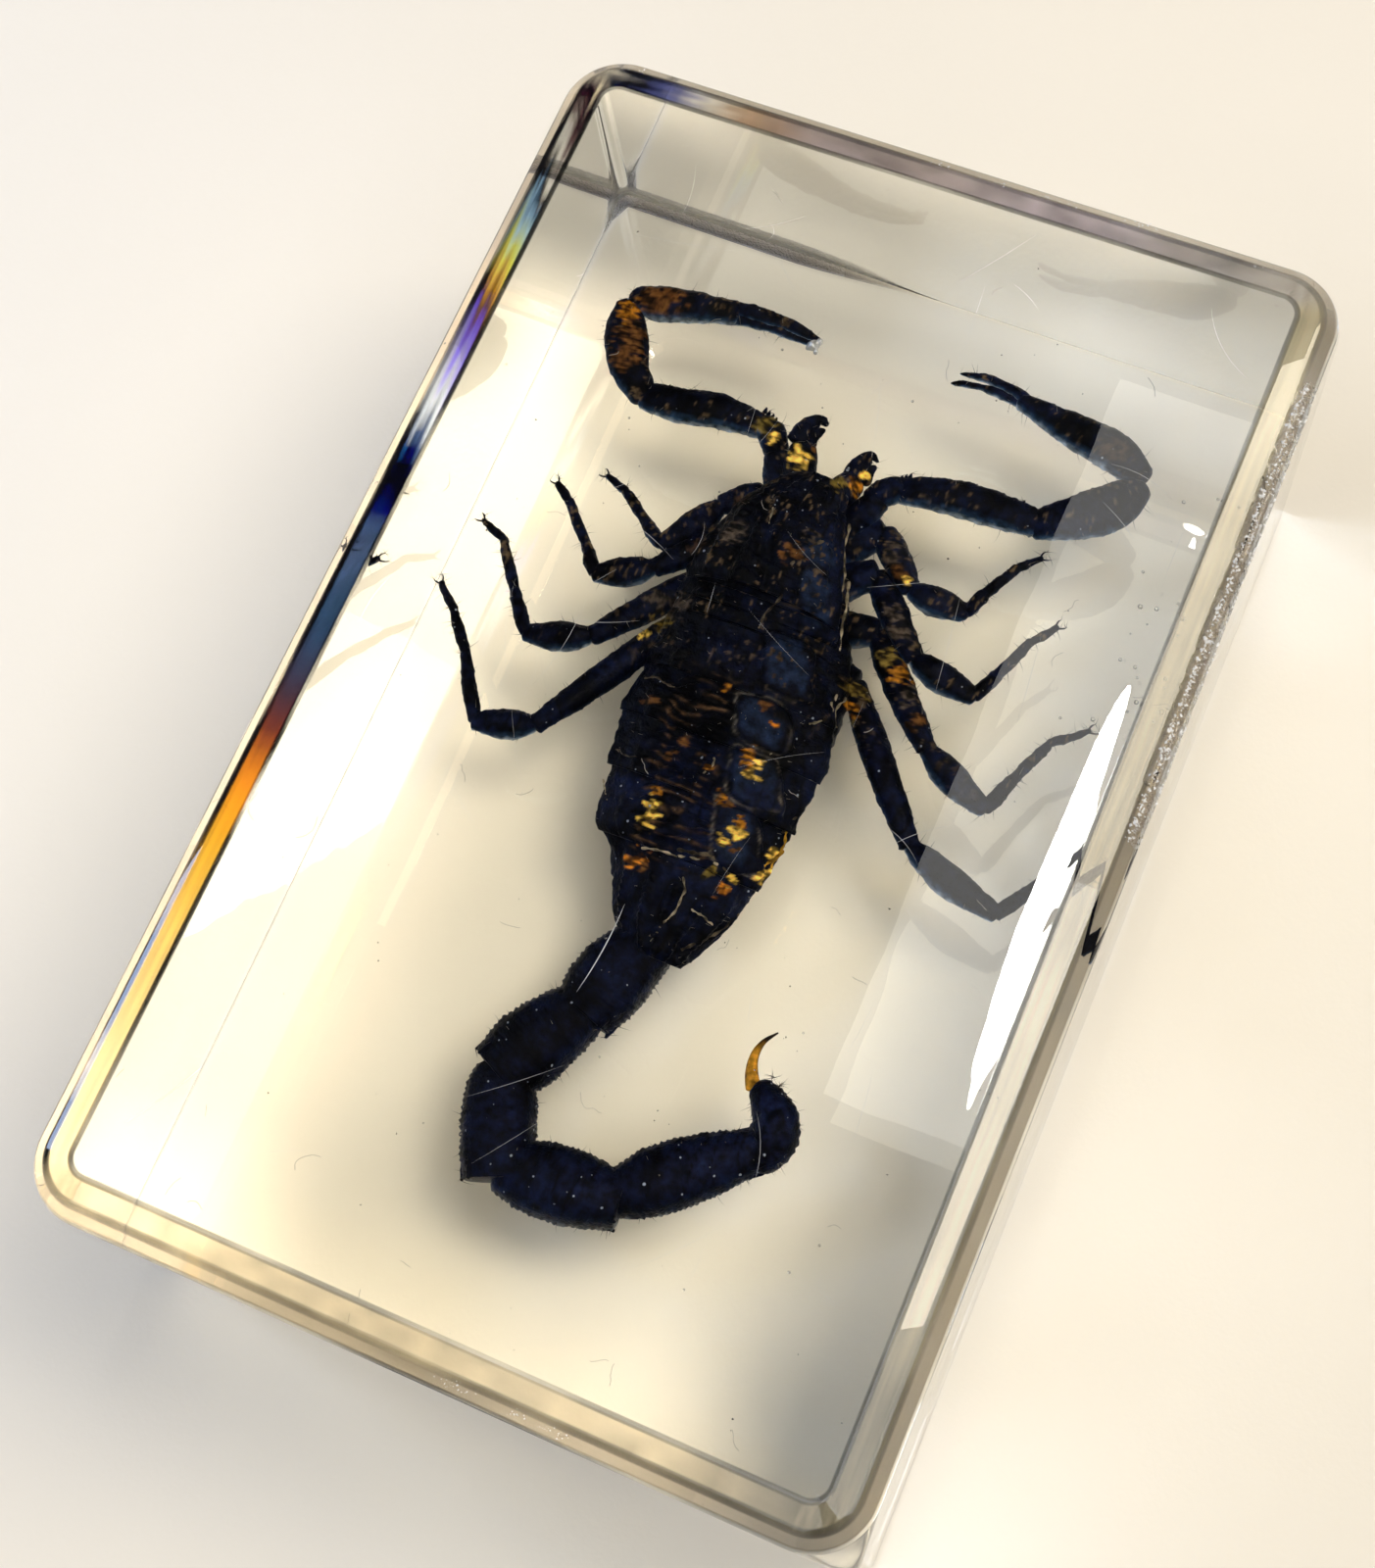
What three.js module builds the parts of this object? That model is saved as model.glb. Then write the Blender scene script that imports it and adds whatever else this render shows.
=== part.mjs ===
// A scorpion in a resin block, at its real size in millimetres, +Z up.
//
// The object is one casting: clear resin poured round a dried scorpion, set hard, sawn to a
// block and polished. Everything in the resin is sealed there, so the only outer surface is
// the block's own, and the block is one closed body.
//
// Its frame: the base rests on z = 0, the origin is the middle of the base, the long side
// runs along Y with the scorpion's head towards +Y, and +X is to the right of that.

import * as THREE from 'three';

// Driving dimensions.
const BLOCK_WIDTH = 45;
const BLOCK_LENGTH = 70.6;
const BLOCK_HEIGHT = 28;

// The four upright corners are rounded to this radius where the walls stand straight.
const CORNER_RADIUS = 3.4;
const STEPS_PER_CORNER = 10;

// The base edge is broken by a small chamfer.
const BASE_CHAMFER = 0.3;

// The polished top edge is worn down in two facets: a narrow steep one above the wall, then
// a wide shallow one that runs out into the flat top. Each has its inset from the wall and
// its drop below the top.
const STEEP_FACET = { inset: 0, drop: 1.0 };
const SHALLOW_FACET = { inset: 0.9, drop: 0.3 };
const FLAT_TOP = { inset: 2.3, drop: 0 };

// Levels of the side from the base up: how far the outline is drawn in, and at what height.
const levels = [
  { inset: BASE_CHAMFER, z: 0 },
  { inset: 0, z: BASE_CHAMFER },
  ...[STEEP_FACET, SHALLOW_FACET, FLAT_TOP].map(({ inset, drop }) => ({
    inset,
    z: BLOCK_HEIGHT - drop,
  })),
];

// The block's outline at one level: a rectangle with round corners, counter-clockwise seen
// from above. Drawing it in by the inset takes the same amount off the corner radius.
function outline({ inset, z }) {
  const radius = CORNER_RADIUS - inset;
  const centreX = BLOCK_WIDTH / 2 - CORNER_RADIUS;
  const centreY = BLOCK_LENGTH / 2 - CORNER_RADIUS;
  const corners = [[1, 1], [-1, 1], [-1, -1], [1, -1]];
  const points = [];
  corners.forEach(([sideX, sideY], corner) => {
    for (let step = 0; step <= STEPS_PER_CORNER; step += 1) {
      const angle = (corner + step / STEPS_PER_CORNER) * (Math.PI / 2);
      points.push(new THREE.Vector3(
        sideX * centreX + radius * Math.cos(angle),
        sideY * centreY + radius * Math.sin(angle),
        z,
      ));
    }
  });
  return points;
}

// A closed body through a stack of outlines with the same number of points: a band of
// triangles between each two, and a fan round a middle point over the first and the last.
function loft(outlines) {
  const perOutline = outlines[0].length;
  const points = outlines.flat();
  const middle = (level) => new THREE.Vector3(0, 0, outlines.at(level)[0].z);
  const baseMiddle = points.push(middle(0)) - 1;
  const topMiddle = points.push(middle(-1)) - 1;
  const topStart = (outlines.length - 1) * perOutline;

  const triangles = [];
  for (let i = 0; i < perOutline; i += 1) {
    const next = (i + 1) % perOutline;
    for (let start = 0; start < topStart; start += perOutline) {
      const above = start + perOutline;
      triangles.push(start + i, start + next, above + next);
      triangles.push(start + i, above + next, above + i);
    }
    triangles.push(baseMiddle, next, i);
    triangles.push(topMiddle, topStart + i, topStart + next);
  }

  const geometry = new THREE.BufferGeometry().setFromPoints(points);
  geometry.setIndex(triangles);
  geometry.computeVertexNormals();
  return geometry;
}

// Cast polyester resin, a little yellow with age, polished to a gloss.
const clearResin = new THREE.MeshStandardMaterial({
  color: 0xe6e3d2,
  roughness: 0.06,
  metalness: 0,
  transparent: true,
  opacity: 0.35,
});

const resinBlock = new THREE.Mesh(loft(levels.map(outline)), clearResin);
resinBlock.name = 'resin_block';

const scorpionInResin = new THREE.Group();
scorpionInResin.add(resinBlock);

export default scorpionInResin;
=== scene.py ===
# %% [markdown]
# # A scorpion in a block of clear resin
#
# The real thing is made in a mould. A dried scorpion is laid on a first layer of clear
# resin, more resin is poured over it, and the hard block is sawn and polished. So there are
# two jobs here: a block of clear plastic with believable edges, and a whole scorpion inside
# it that holds up when it is seen close through 2 cm of resin.
#
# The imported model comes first. It is the fixed frame: metres, +Z up, the block's base at
# z = 0, the scorpion's head towards +Y.

import bpy
import numpy as np
from mathutils import Matrix, Vector


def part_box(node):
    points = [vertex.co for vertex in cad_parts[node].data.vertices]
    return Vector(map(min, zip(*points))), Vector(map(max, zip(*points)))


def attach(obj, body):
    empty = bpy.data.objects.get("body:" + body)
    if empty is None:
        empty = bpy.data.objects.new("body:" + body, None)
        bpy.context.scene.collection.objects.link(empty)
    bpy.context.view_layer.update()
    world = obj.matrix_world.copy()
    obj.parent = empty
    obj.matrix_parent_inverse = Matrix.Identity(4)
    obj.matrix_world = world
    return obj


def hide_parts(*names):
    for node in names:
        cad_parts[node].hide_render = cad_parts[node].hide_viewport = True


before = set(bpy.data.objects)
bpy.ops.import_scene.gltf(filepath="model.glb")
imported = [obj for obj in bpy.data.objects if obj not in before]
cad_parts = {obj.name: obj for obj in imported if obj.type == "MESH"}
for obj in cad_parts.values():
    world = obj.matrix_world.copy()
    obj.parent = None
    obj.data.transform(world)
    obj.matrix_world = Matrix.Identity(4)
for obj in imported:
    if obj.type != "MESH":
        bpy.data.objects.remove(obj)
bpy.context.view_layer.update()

MM = 0.001
BODY = "root"
BLOCK_NODE = "resin_block"
block_low, block_high = (np.array(corner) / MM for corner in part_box(BLOCK_NODE))
TOP = block_high[2]
print("the block's box in mm:", block_low.round(2), block_high.round(2))

# %% [markdown]
# ## Small tools
#
# Colours are picked as sRGB hex, as a colour chart gives them, and Blender's shaders want
# them linear, so one function turns them. Every shader node is added by one other function,
# which takes the node's settings, its sockets' values and what feeds its sockets.

# %% Colours and nodes
def paint(hex_colour):
    """An sRGB hex colour as linear red, green, blue and alpha."""
    channels = [int(hex_colour[i:i + 2], 16) / 255 for i in (1, 3, 5)]
    linear = [c / 12.92 if c <= 0.04045 else ((c + 0.055) / 1.055) ** 2.4 for c in channels]
    return (*linear, 1.0)


def add(tree, kind, values=None, feeds=None, **settings):
    """Add one node: its own settings, values for its sockets, and outputs that feed them."""
    node = tree.nodes.new("ShaderNode" + kind)
    for name, value in settings.items():
        setattr(node, name, value)
    for name, value in (values or {}).items():
        node.inputs[name].default_value = value
    for name, output in (feeds or {}).items():
        tree.links.new(output, node.inputs[name])
    return node


def new_material(name, values):
    """A material of one Principled shader with these values; gives it, its tree and shader."""
    made = bpy.data.materials.new(name)
    made.use_nodes = True
    made.node_tree.nodes.clear()
    shader = add(made.node_tree, "BsdfPrincipled", values)
    add(made.node_tree, "OutputMaterial", feeds={"Surface": shader.outputs["BSDF"]})
    return made, made.node_tree, shader


print("white turns into", paint("#ffffff"), "and mid grey into", round(paint("#808080")[0], 3))

# %% [markdown]
# Real finishes are never even, so the ones here have three things in common: a noise with
# hills of some size, a colour that runs with a noise, and a bump. Each is a short function,
# and sizes are given in millimetres, as they would be measured under a lens.

# %% What the finishes share
def per_mm(size_mm):
    """The Scale of a texture in metres whose features are this many millimetres apart."""
    return 1 / (size_mm * MM)


def calculate(tree, operation, *terms):
    """One operation on two terms, each a number or another node's output."""
    values = {i: term for i, term in enumerate(terms) if isinstance(term, float)}
    feeds = {i: term for i, term in enumerate(terms) if not isinstance(term, float)}
    return add(tree, "Math", values, feeds, operation=operation).outputs["Value"]


def noise(tree, size_mm, detail=2):
    """A noise fixed to the object, with hills of this size; gives its output."""
    place = add(tree, "TexCoord").outputs["Object"]
    made = add(tree, "TexNoise", {"Scale": per_mm(size_mm), "Detail": detail}, {"Vector": place})
    return made.outputs["Fac"]


def colour_between(tree, shader, dark, light, factor):
    """Run the shader's colour from dark to light with `factor`."""
    tone = add(tree, "Mix", {"A": paint(dark), "B": paint(light)}, {"Factor": factor},
               data_type="RGBA")
    tree.links.new(tone.outputs["Result"], shader.inputs["Base Color"])


def bump(tree, shader, height, strength, deep_mm, over=None):
    """Give the shader a bump of this height; `over` is a coarser bump that it adds to."""
    feeds = {"Height": height} if over is None else {"Height": height, "Normal": over}
    made = add(tree, "Bump", {"Strength": strength, "Distance": deep_mm * MM}, feeds)
    tree.links.new(made.outputs["Normal"], shader.inputs["Normal"])
    return made.outputs["Normal"]


print("hills 2 mm apart need a Scale of", per_mm(2))

# %% [markdown]
# Pieces are worked out as arrays of points in millimetres, because that is how a specimen is
# measured, and one function turns an array into a Blender object in metres. It also says
# which body the piece rides on and which finish it has. A piece that is made of many small
# ones has its faces renumbered as they are joined. Directions are often needed at length 1.

# %% From an array of points to a piece
def unit(vectors):
    """The same directions with length 1."""
    return vectors / np.linalg.norm(vectors, axis=-1, keepdims=True)


def renumbered(faces, first):
    """The same faces for points that start at number `first`."""
    return [[first + i for i in face] for face in faces]


def make_piece(name, points, faces, material, layers=None, normals=None):
    mesh = bpy.data.meshes.new(name)
    mesh.from_pydata((np.asarray(points) * MM).tolist(), [], faces)
    mesh.shade_smooth()
    if normals is not None:
        mesh.normals_split_custom_set_from_vertices(np.asarray(normals).tolist())
    for layer_name, colours in (layers or {}).items():
        layer = mesh.color_attributes.new(layer_name, "FLOAT_COLOR", "POINT")
        rgba = np.column_stack([colours, np.ones(len(colours))]).astype(np.float32)
        layer.data.foreach_set("color", rgba.ravel())
    mesh.materials.append(material)
    made = bpy.data.objects.new(name, mesh)
    bpy.context.scene.collection.objects.link(made)
    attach(made, BODY)
    print(name, len(points), "points")
    return made


# %% [markdown]
# ## The camera
#
# The block is seen from close above its right front corner, so its long sides draw together.
# The camera is placed in millimetres, aimed at a point on the polished top, and turned until
# the block leans to the right. A lens is easiest to state by its focal length in pixels of
# the frame's width, and Blender wants it in millimetres on a sensor.

# %% Place and aim the camera
FRAME_WIDTH = 1403
CAMERA_AT = Vector((25.73, -33.16, 139.89))
AIMED_AT = Vector((0.57, -3.40, 28.0))
PICTURE_UP_FROM_Y = np.radians(-23.44)
FOCAL_PIXELS = 2400
SENSOR_WIDTH = 36.0

looking = (AIMED_AT - CAMERA_AT).normalized()
picture_up = Vector((np.sin(PICTURE_UP_FROM_Y), np.cos(PICTURE_UP_FROM_Y), 0))
picture_right = looking.cross(picture_up).normalized()
picture_up = picture_right.cross(looking)
camera_turn = Matrix((picture_right, picture_up, -looking)).transposed()

lens = bpy.data.cameras.new("camera")
lens.sensor_fit = "HORIZONTAL"
lens.sensor_width = SENSOR_WIDTH
lens.lens = FOCAL_PIXELS / FRAME_WIDTH * SENSOR_WIDTH
lens.clip_start = 5 * MM
camera = bpy.data.objects.new("camera", lens)
camera.matrix_world = Matrix.Translation(CAMERA_AT * MM) @ camera_turn.to_4x4()
bpy.context.scene.collection.objects.link(camera)
bpy.context.scene.camera = camera
print(f"a {lens.lens:.1f} mm lens, {(AIMED_AT - CAMERA_AT).length:.0f} mm from the block's top")

# %% [markdown]
# ## The floor
#
# The block stands on matt white paper. Paper isn't one white: its fibres make faint hills,
# and it takes a little warmth here and there. So a soft noise varies its colour, and a fine
# one gives it tooth. It lies a hair below the base, because there is a film of air under any
# real block. Without it the base wouldn't mirror and bend light as it should.

# %% Lay the paper
FLOOR_HALF = 1500
AIR_FILM = 0.12
FIBRE, FIBRE_HEIGHT = 0.35, 0.05
CLOUD = 60

matt_paper, tree, shader = new_material("matt_white_paper", {"Roughness": 0.9, "IOR": 1.4})
colour_between(tree, shader, "#e9e2d3", "#f4ede0", noise(tree, CLOUD))
bump(tree, shader, noise(tree, FIBRE, detail=5), 0.25, FIBRE_HEIGHT)

floor_mesh = bpy.data.meshes.new("floor")
corners = [(-1, -1), (1, -1), (1, 1), (-1, 1)]
floor_mesh.from_pydata(
    [(x * FLOOR_HALF * MM, y * FLOOR_HALF * MM, -AIR_FILM * MM) for x, y in corners],
    [], [(0, 1, 2, 3)])
floor_mesh.materials.append(matt_paper)
floor = bpy.data.objects.new("floor", floor_mesh)
bpy.context.scene.collection.objects.link(floor)
print(f"paper {2 * FLOOR_HALF} mm square, {AIR_FILM} mm under the block")

# %% [markdown]
# ## The light
#
# Clear things are drawn by what they mirror and bend, more than by light that falls on them.
# So the room isn't one grey: it is pale round the horizon and dark overhead. The dark ceiling
# keeps the polished top from washing out the scorpion, and where an edge of the block mirrors
# pale and dark parts of the room side by side it draws crisp lines. Next to the lamps the
# room is dim, so it hardly lights the paper.

# %% The room
ROOM_STRENGTH = 0.2
ROOM_COLOURS = [
    # how far up: 0 at the horizon, 1 straight overhead
    (0.0, "#c9c4c8"), (0.45, "#aeaab0"), (0.85, "#33323a"),
]

room = bpy.data.worlds.new("room")
room.use_nodes = True
tree = room.node_tree
tree.nodes.clear()
way = add(tree, "TexCoord").outputs["Generated"]
height = add(tree, "SeparateXYZ", feeds={"Vector": way}).outputs["Z"]
ramp = add(tree, "ValToRGB", feeds={"Fac": height})
ramp.color_ramp.elements.new(0.5)
for stop, (position, colour) in zip(ramp.color_ramp.elements, ROOM_COLOURS):
    stop.position = position
    stop.color = paint(colour)
glow = add(tree, "Background", {"Strength": ROOM_STRENGTH}, {"Color": ramp.outputs["Color"]})
add(tree, "OutputWorld", feeds={"Surface": glow.outputs["Background"]})
bpy.context.scene.world = room
print("the room has", len(ROOM_COLOURS), "greys")

# %% [markdown]
# The lamps are soft boxes. Each is placed in millimetres and turned to face a point. The
# ceiling panel and the strip under it are there for what the polished top mirrors: a pale
# veil over the right part, with a straight edge, and one white splinter of light.

# %% Soft boxes
def soft_box(name, at, size, radiance, colour, facing=(0, 0, 10), shape="RECTANGLE"):
    """An area lamp of this size in mm whose face has this radiance."""
    lamp = bpy.data.lights.new(name, "AREA")
    lamp.shape = shape
    lamp.size, lamp.size_y = (side * MM for side in size)
    area = lamp.size * lamp.size_y * (np.pi / 4 if shape == "ELLIPSE" else 1)
    lamp.energy = radiance * area * np.pi
    lamp.color = paint(colour)[:3]
    holder = bpy.data.objects.new(name, lamp)
    holder.location = Vector(at) * MM
    holder.rotation_euler = (Vector(at) - Vector(facing)).to_track_quat("Z", "Y").to_euler()
    bpy.context.scene.collection.objects.link(holder)
    print(f"{name}: {lamp.energy:.2f} W")


soft_box("key", (330, 250, 620), (300, 380), 8.3, "#fff4e0")
soft_box("from_right", (280, 0, 600), (360, 360), 2.9, "#f8faff")
soft_box("from_front", (-60, -290, 600), (400, 400), 2.0, "#fffdfa")
soft_box("cool_side", (-220, -20, 120), (70, 120), 10.0, "#c4d8ff")
soft_box("ceiling_panel", (20, 132, 400), (100, 176), 2.1, "#fffdf8", facing=(20, 132, 0))
soft_box("splinter", (-2.5, 104, 396), (5.2, 93), 60, "#ffffff", facing=(-2.5, 104, 0),
         shape="ELLIPSE")

# %% [markdown]
# Light reaches the paper under the block only through the resin, so the bounces that pass
# through it or mirror inside it must not be cut short. The clamp is a loose one: it only takes
# down the rarest bright paths, which would be left as white dots.

# %% How far light is followed
scene = bpy.context.scene
scene.view_settings.view_transform = "Standard"
scene.cycles.max_bounces = 20
scene.cycles.glossy_bounces = 10
scene.cycles.transmission_bounces = 20
scene.cycles.sample_clamp_indirect = 30
scene.cycles.blur_glossy = 0.1
scene.cycles.use_denoising = True
print("light is followed for", scene.cycles.max_bounces, "bounces")

# %% [markdown]
# ## The resin block
#
# The block is cast resin, sawn and then polished on a soft wheel. The wheel rounds over the
# top edge into two facets, and each facet ends in a fine rounded ridge. Those ridges are the
# dark lines that run round the top. A bevel modifier could cut them, but here the outline
# is lofted, because the shading normals must be exact: on a clear block, a normal
# that is two degrees out bends everything behind it.
#
# The profile is a list of corners, each an inset from the wall and a height, with the length
# that its rounding takes from both sides. Between two roundings the face is flat, and a few
# rows of points there carry the streaks of colour.

# %% The block's profile
PROFILE = [
    # inset, height, length of the rounding
    (0.3, 0.0, 0.06),
    (0.0, 0.3, 0.06),
    (0.0, TOP - 1.0, 0.34),
    (0.9, TOP - 0.3, 0.30),
    (2.3, TOP, 0.20),
]
RIDGE_STEPS = 6
FLAT_ROWS = {2: 12, 3: 2, 4: 7}  # below ridge 2 lies the wall, below 3 and 4 the facets
FLAT_IN = 3.0  # the base and the top are flat from this inset on


def rounded_profile():
    """Rows of inset, height, normal (outwards, up), number of the ridge and how far through
    it; a row on a flat face has the number of the ridge below it plus a half."""
    corners = np.array([(FLAT_IN, 0.0)] + [p[:2] for p in PROFILE] + [(FLAT_IN, TOP)])
    rows = []
    for i, (_, _, length) in enumerate(PROFILE, start=1):
        before, at, after = corners[i - 1:i + 2]
        start = at + unit(before - at) * length
        end = at + unit(after - at) * length
        flat = FLAT_ROWS.get(i - 1, 0)
        for t in np.arange(1, flat + 1) / (flat + 1):
            rows.append((*(flat_start * (1 - t) + start * t), *rows[-1][2:4], i - 1.5, t))
        for t in np.linspace(0, 1, RIDGE_STEPS + 1):
            point = (1 - t) ** 2 * start + 2 * t * (1 - t) * at + t * t * end
            along = (1 - t) * (at - start) + t * (end - at)
            rows.append((*point, *unit(along[::-1]), i - 1, t))
        flat_start = end
    return np.array(rows)


profile = rounded_profile()
print(len(profile), "levels; the top ring is at", profile[-1, :2].round(3))

# %% [markdown]
# Seen from above, the outline is a rectangle with round corners. They were rounded on the
# wheel, so only the top of each upright edge is that round, and further down the edge is
# nearly as sharp as it was sawn. The right side gets closer steps than the others, because
# that is where the edge is chipped.

# %% The block's outline
SAWN_RADIUS, WHEEL_RADIUS = 0.8, 3.4
SHARP_BELOW, ROUND_ABOVE = TOP - 5.5, TOP - 1.2
CORNER_STEPS = 20
SIDE_STEP, WORN_STEP = 1.0, 0.15
BASE_EDGE, BLUNT_BASE_EDGE = 0.05, 1.7
CORNERS = [(1, 1), (-1, 1), (-1, -1), (1, -1)]


def step_up(value, low, high):
    """0 below `low`, 1 above `high`, and a smooth rise between."""
    t = np.clip((value - low) / (high - low), 0, 1)
    return t * t * (3 - 2 * t)


def outline(radius):
    """Centres of the corner arcs, carried along the sides, and the outward directions."""
    half = np.array(block_high[:2]) - radius
    ways, places = [], []
    for corner, signs in enumerate(CORNERS):
        start, goal = half * signs, half * CORNERS[(corner + 1) % 4]
        for angle in np.linspace(0, np.pi / 2, CORNER_STEPS + 1) + corner * np.pi / 2:
            ways.append((np.cos(angle), np.sin(angle)))
            places.append(start)
        side = 2 * (block_high[corner % 2] - WHEEL_RADIUS)
        count = int(side / (WORN_STEP if corner == 3 else SIDE_STEP))
        for t in np.linspace(0, 1, count + 1)[1:-1]:
            ways.append(ways[-1])
            places.append(start * (1 - t) + goal * t)
    return np.array(places), np.array(ways)


print(len(outline(WHEEL_RADIUS)[0]), "points round the block")

# %% [markdown]
# Each level of the profile becomes one ring of that outline. The base edge is crisp, but for
# a blunter stretch at the far left corner. Where an upright edge opens from sharp to round
# its face leans, so the shading normals there are worked out from the points. The base and
# the top are one face each, because nothing on them needs points.

# %% Rings and faces of the block
block_points, block_normals = [], []
for inset, level, outwards, up, ridge_number, _ in profile:
    radius = SAWN_RADIUS + (WHEEL_RADIUS - SAWN_RADIUS) * step_up(level, SHARP_BELOW, ROUND_ABOVE)
    centres, ways = outline(radius)
    size = 1.0
    if ridge_number <= 1:
        blunt = step_up(-centres[:, 0], 0, 11) * step_up(centres[:, 1], 33, 34.4)
        size = (BASE_EDGE + BLUNT_BASE_EDGE * blunt)[:, None]
    ring = centres + ways * (radius - inset * size)
    block_points.append(np.column_stack([ring, np.full(len(ring), level) * np.ravel(size)]))
    block_normals.append(np.column_stack([ways * outwards, np.full(len(ring), up)]))
per_ring = len(ways)

around = np.arange(per_ring)
leaning_rows = np.flatnonzero((profile[:, 1] > SHARP_BELOW - 2)
                              & (profile[:, 1] < ROUND_ABOVE + 0.1))
stack = np.array(block_points)
upright = np.gradient(stack, axis=0)
along_ring = np.roll(stack, -1, axis=1) - np.roll(stack, 1, axis=1)
true_normals = unit(np.cross(along_ring, upright))
at_corner = np.abs(ways).min(axis=1) > 0.01
for row in leaning_rows:
    block_normals[row][at_corner] = true_normals[row][at_corner]
block_points = np.concatenate(block_points)
block_normals = np.concatenate(block_normals)

block_faces = [list(map(int, reversed(around)))]
for ring in range(len(profile) - 1):
    low = ring * per_ring + around
    next_low = ring * per_ring + (around + 1) % per_ring
    block_faces += np.column_stack([low, next_low, next_low + per_ring, low + per_ring]).tolist()
block_faces.append(list(map(int, (len(profile) - 1) * per_ring + around)))
print(len(block_points), "points and", len(block_faces), "faces in the block")

# %% [markdown]
# The next tools serve the block's worn edges and the whole scorpion: smooth curves through a
# few measured values, and a noise for anything uneven. The noise gives every corner of a grid
# of cells a height between -1 and 1 and blends between the corners. The height is drawn by
# stirring the cell's whole numbers with large odd ones, so it is the same on every run.

# %% Curves and noise
def through(knots, values, at):
    """Read a smooth curve that passes through `values` at `knots`."""
    knots, values, at = (np.asarray(a, float) for a in (knots, values, at))
    slopes = np.gradient(values, knots, axis=0)
    i = np.clip(np.searchsorted(knots, at, side="right") - 1, 0, len(knots) - 2)
    width = knots[i + 1] - knots[i]
    u = (at - knots[i]) / width
    if values.ndim > 1:
        u, width = u[:, None], width[:, None]
    ease = u * u * (3 - 2 * u)
    leave, arrive = u * (1 - u) ** 2, u * u * (u - 1)
    return (values[i] * (1 - ease) + values[i + 1] * ease
            + width * (slopes[i] * leave + slopes[i + 1] * arrive))


STIR = (73856093, 19349663, 83492791, 2654435761)
STIR_MORE = ((15, 2246822519), (13, 3266489917))
BITS = 0xFFFFFFFF


def hills(points, size, seed=0):
    """Smooth noise between -1 and 1 whose hills are `size` millimetres apart."""
    cells = points / size
    corner = np.floor(cells).astype(np.int64)
    ease = cells - corner
    ease = ease * ease * (3 - 2 * ease)
    total = np.zeros(len(points))
    for shift in np.ndindex(2, 2, 2):
        shift = np.array(shift)
        cell = corner + shift
        mixed = (cell[:, 0] * STIR[0]) ^ (cell[:, 1] * STIR[1]) ^ (cell[:, 2] * STIR[2])
        mixed = (mixed ^ (seed * STIR[3])) & BITS
        for shifted, factor in STIR_MORE:
            mixed = ((mixed ^ (mixed >> shifted)) * factor) & BITS
        height = (mixed ^ (mixed >> 16)) / BITS * 2 - 1
        total += height * np.prod(np.where(shift, ease, 1 - ease), axis=1)
    return total


def shades(*hex_colours):
    """Hex colours as rows of linear red, green and blue."""
    return np.array([paint(colour)[:3] for colour in hex_colours])


print("hills vary by about", hills(np.random.default_rng(1).random((500, 3)) * 9, 1.0).std())

# %% [markdown]
# Along the left edge the coloured light that the rounded edge bends in from the paper and the
# room is painted into the resin: yellow, violet, slate blue, orange and cream, in long bands
# that run between the ridges, with a few painted glints and dark patches. The other edges get
# paler painted bands, and the far one a few dark ones. The ridges themselves carry painted
# shade, almost black on the left and greyer elsewhere. Both are held as one colour per point
# of the block, which is what gets through the surface there. Everywhere else that colour is
# white. The bands are drawn out along the edge by a noise that is stretched in that direction.

# %% Colours along the edges
# painted light along the left edge, by y: coloured bands, a white glint and dark patches
LEFT_PAINTED_BAND_Y = [-34, -28, -23, -15.5, -11, -9, -6.5, -4, 3, 9, 10.5, 14, 16.5, 18, 20, 22, 24,
               25.5, 27, 30, 32.3, 34]
LEFT_PAINTED_BAND = shades("#fff3dc", "#fdebc4", "#f7dc9a", "#efb940", "#e08a2a", "#8f4a2c", "#4b3544",
                   "#35436a", "#3f527f", "#4a5f90", "#c9d6f2", "#a6a4ff", "#6d55e6", "#6b4a35",
                   "#c9a25a", "#e3ee7c", "#a9d4ff", "#2b2329", "#ffffff", "#7c6466", "#5a4850",
                   "#f2e8d2")
# painted light and shade along the far edge, by x: dark bands near the left and a white one
FAR_PAINTED_BAND_X = [-21, -19.5, -18, -16, -14.5, -12.5, -8, 0, 8, 15, 21]
FAR_PAINTED_BAND = shades("#f6f1e8", "#26304a", "#1b2440", "#8a90d0", "#fbfaff", "#dcc4b2", "#d2c5cd",
                  "#cec3cc", "#d6ccda", "#dfd9dd", "#ebe5df")
# paler painted light on the near and right edges, and on the steep facet
NEAR_PAINTED_BAND, RIGHT_PAINTED_BAND = shades("#e4dac4", "#f3e8cc")
OUTER_LEFT_PAINTED, OUTER_OTHER_PAINTED = shades("#fff2e6", "#d9cfc2")

ridge, in_ridge = (np.repeat(profile[:, column], per_ring) for column in (4, 5))
heart = np.clip(1.7 * np.sin(np.pi * in_ridge), 0, 1)
way = np.tile(ways, (len(profile), 1))
left, right = step_up(-way[:, 0], 0.5, 0.95), step_up(way[:, 0], 0.5, 0.95)
far, near = step_up(way[:, 1], 0.3, 0.8), step_up(-way[:, 1], 0.3, 0.8)
x, y = block_points[:, 0], block_points[:, 1]
cloud = 0.5 + 0.5 * hills(block_points, 2.5, 60)

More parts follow.
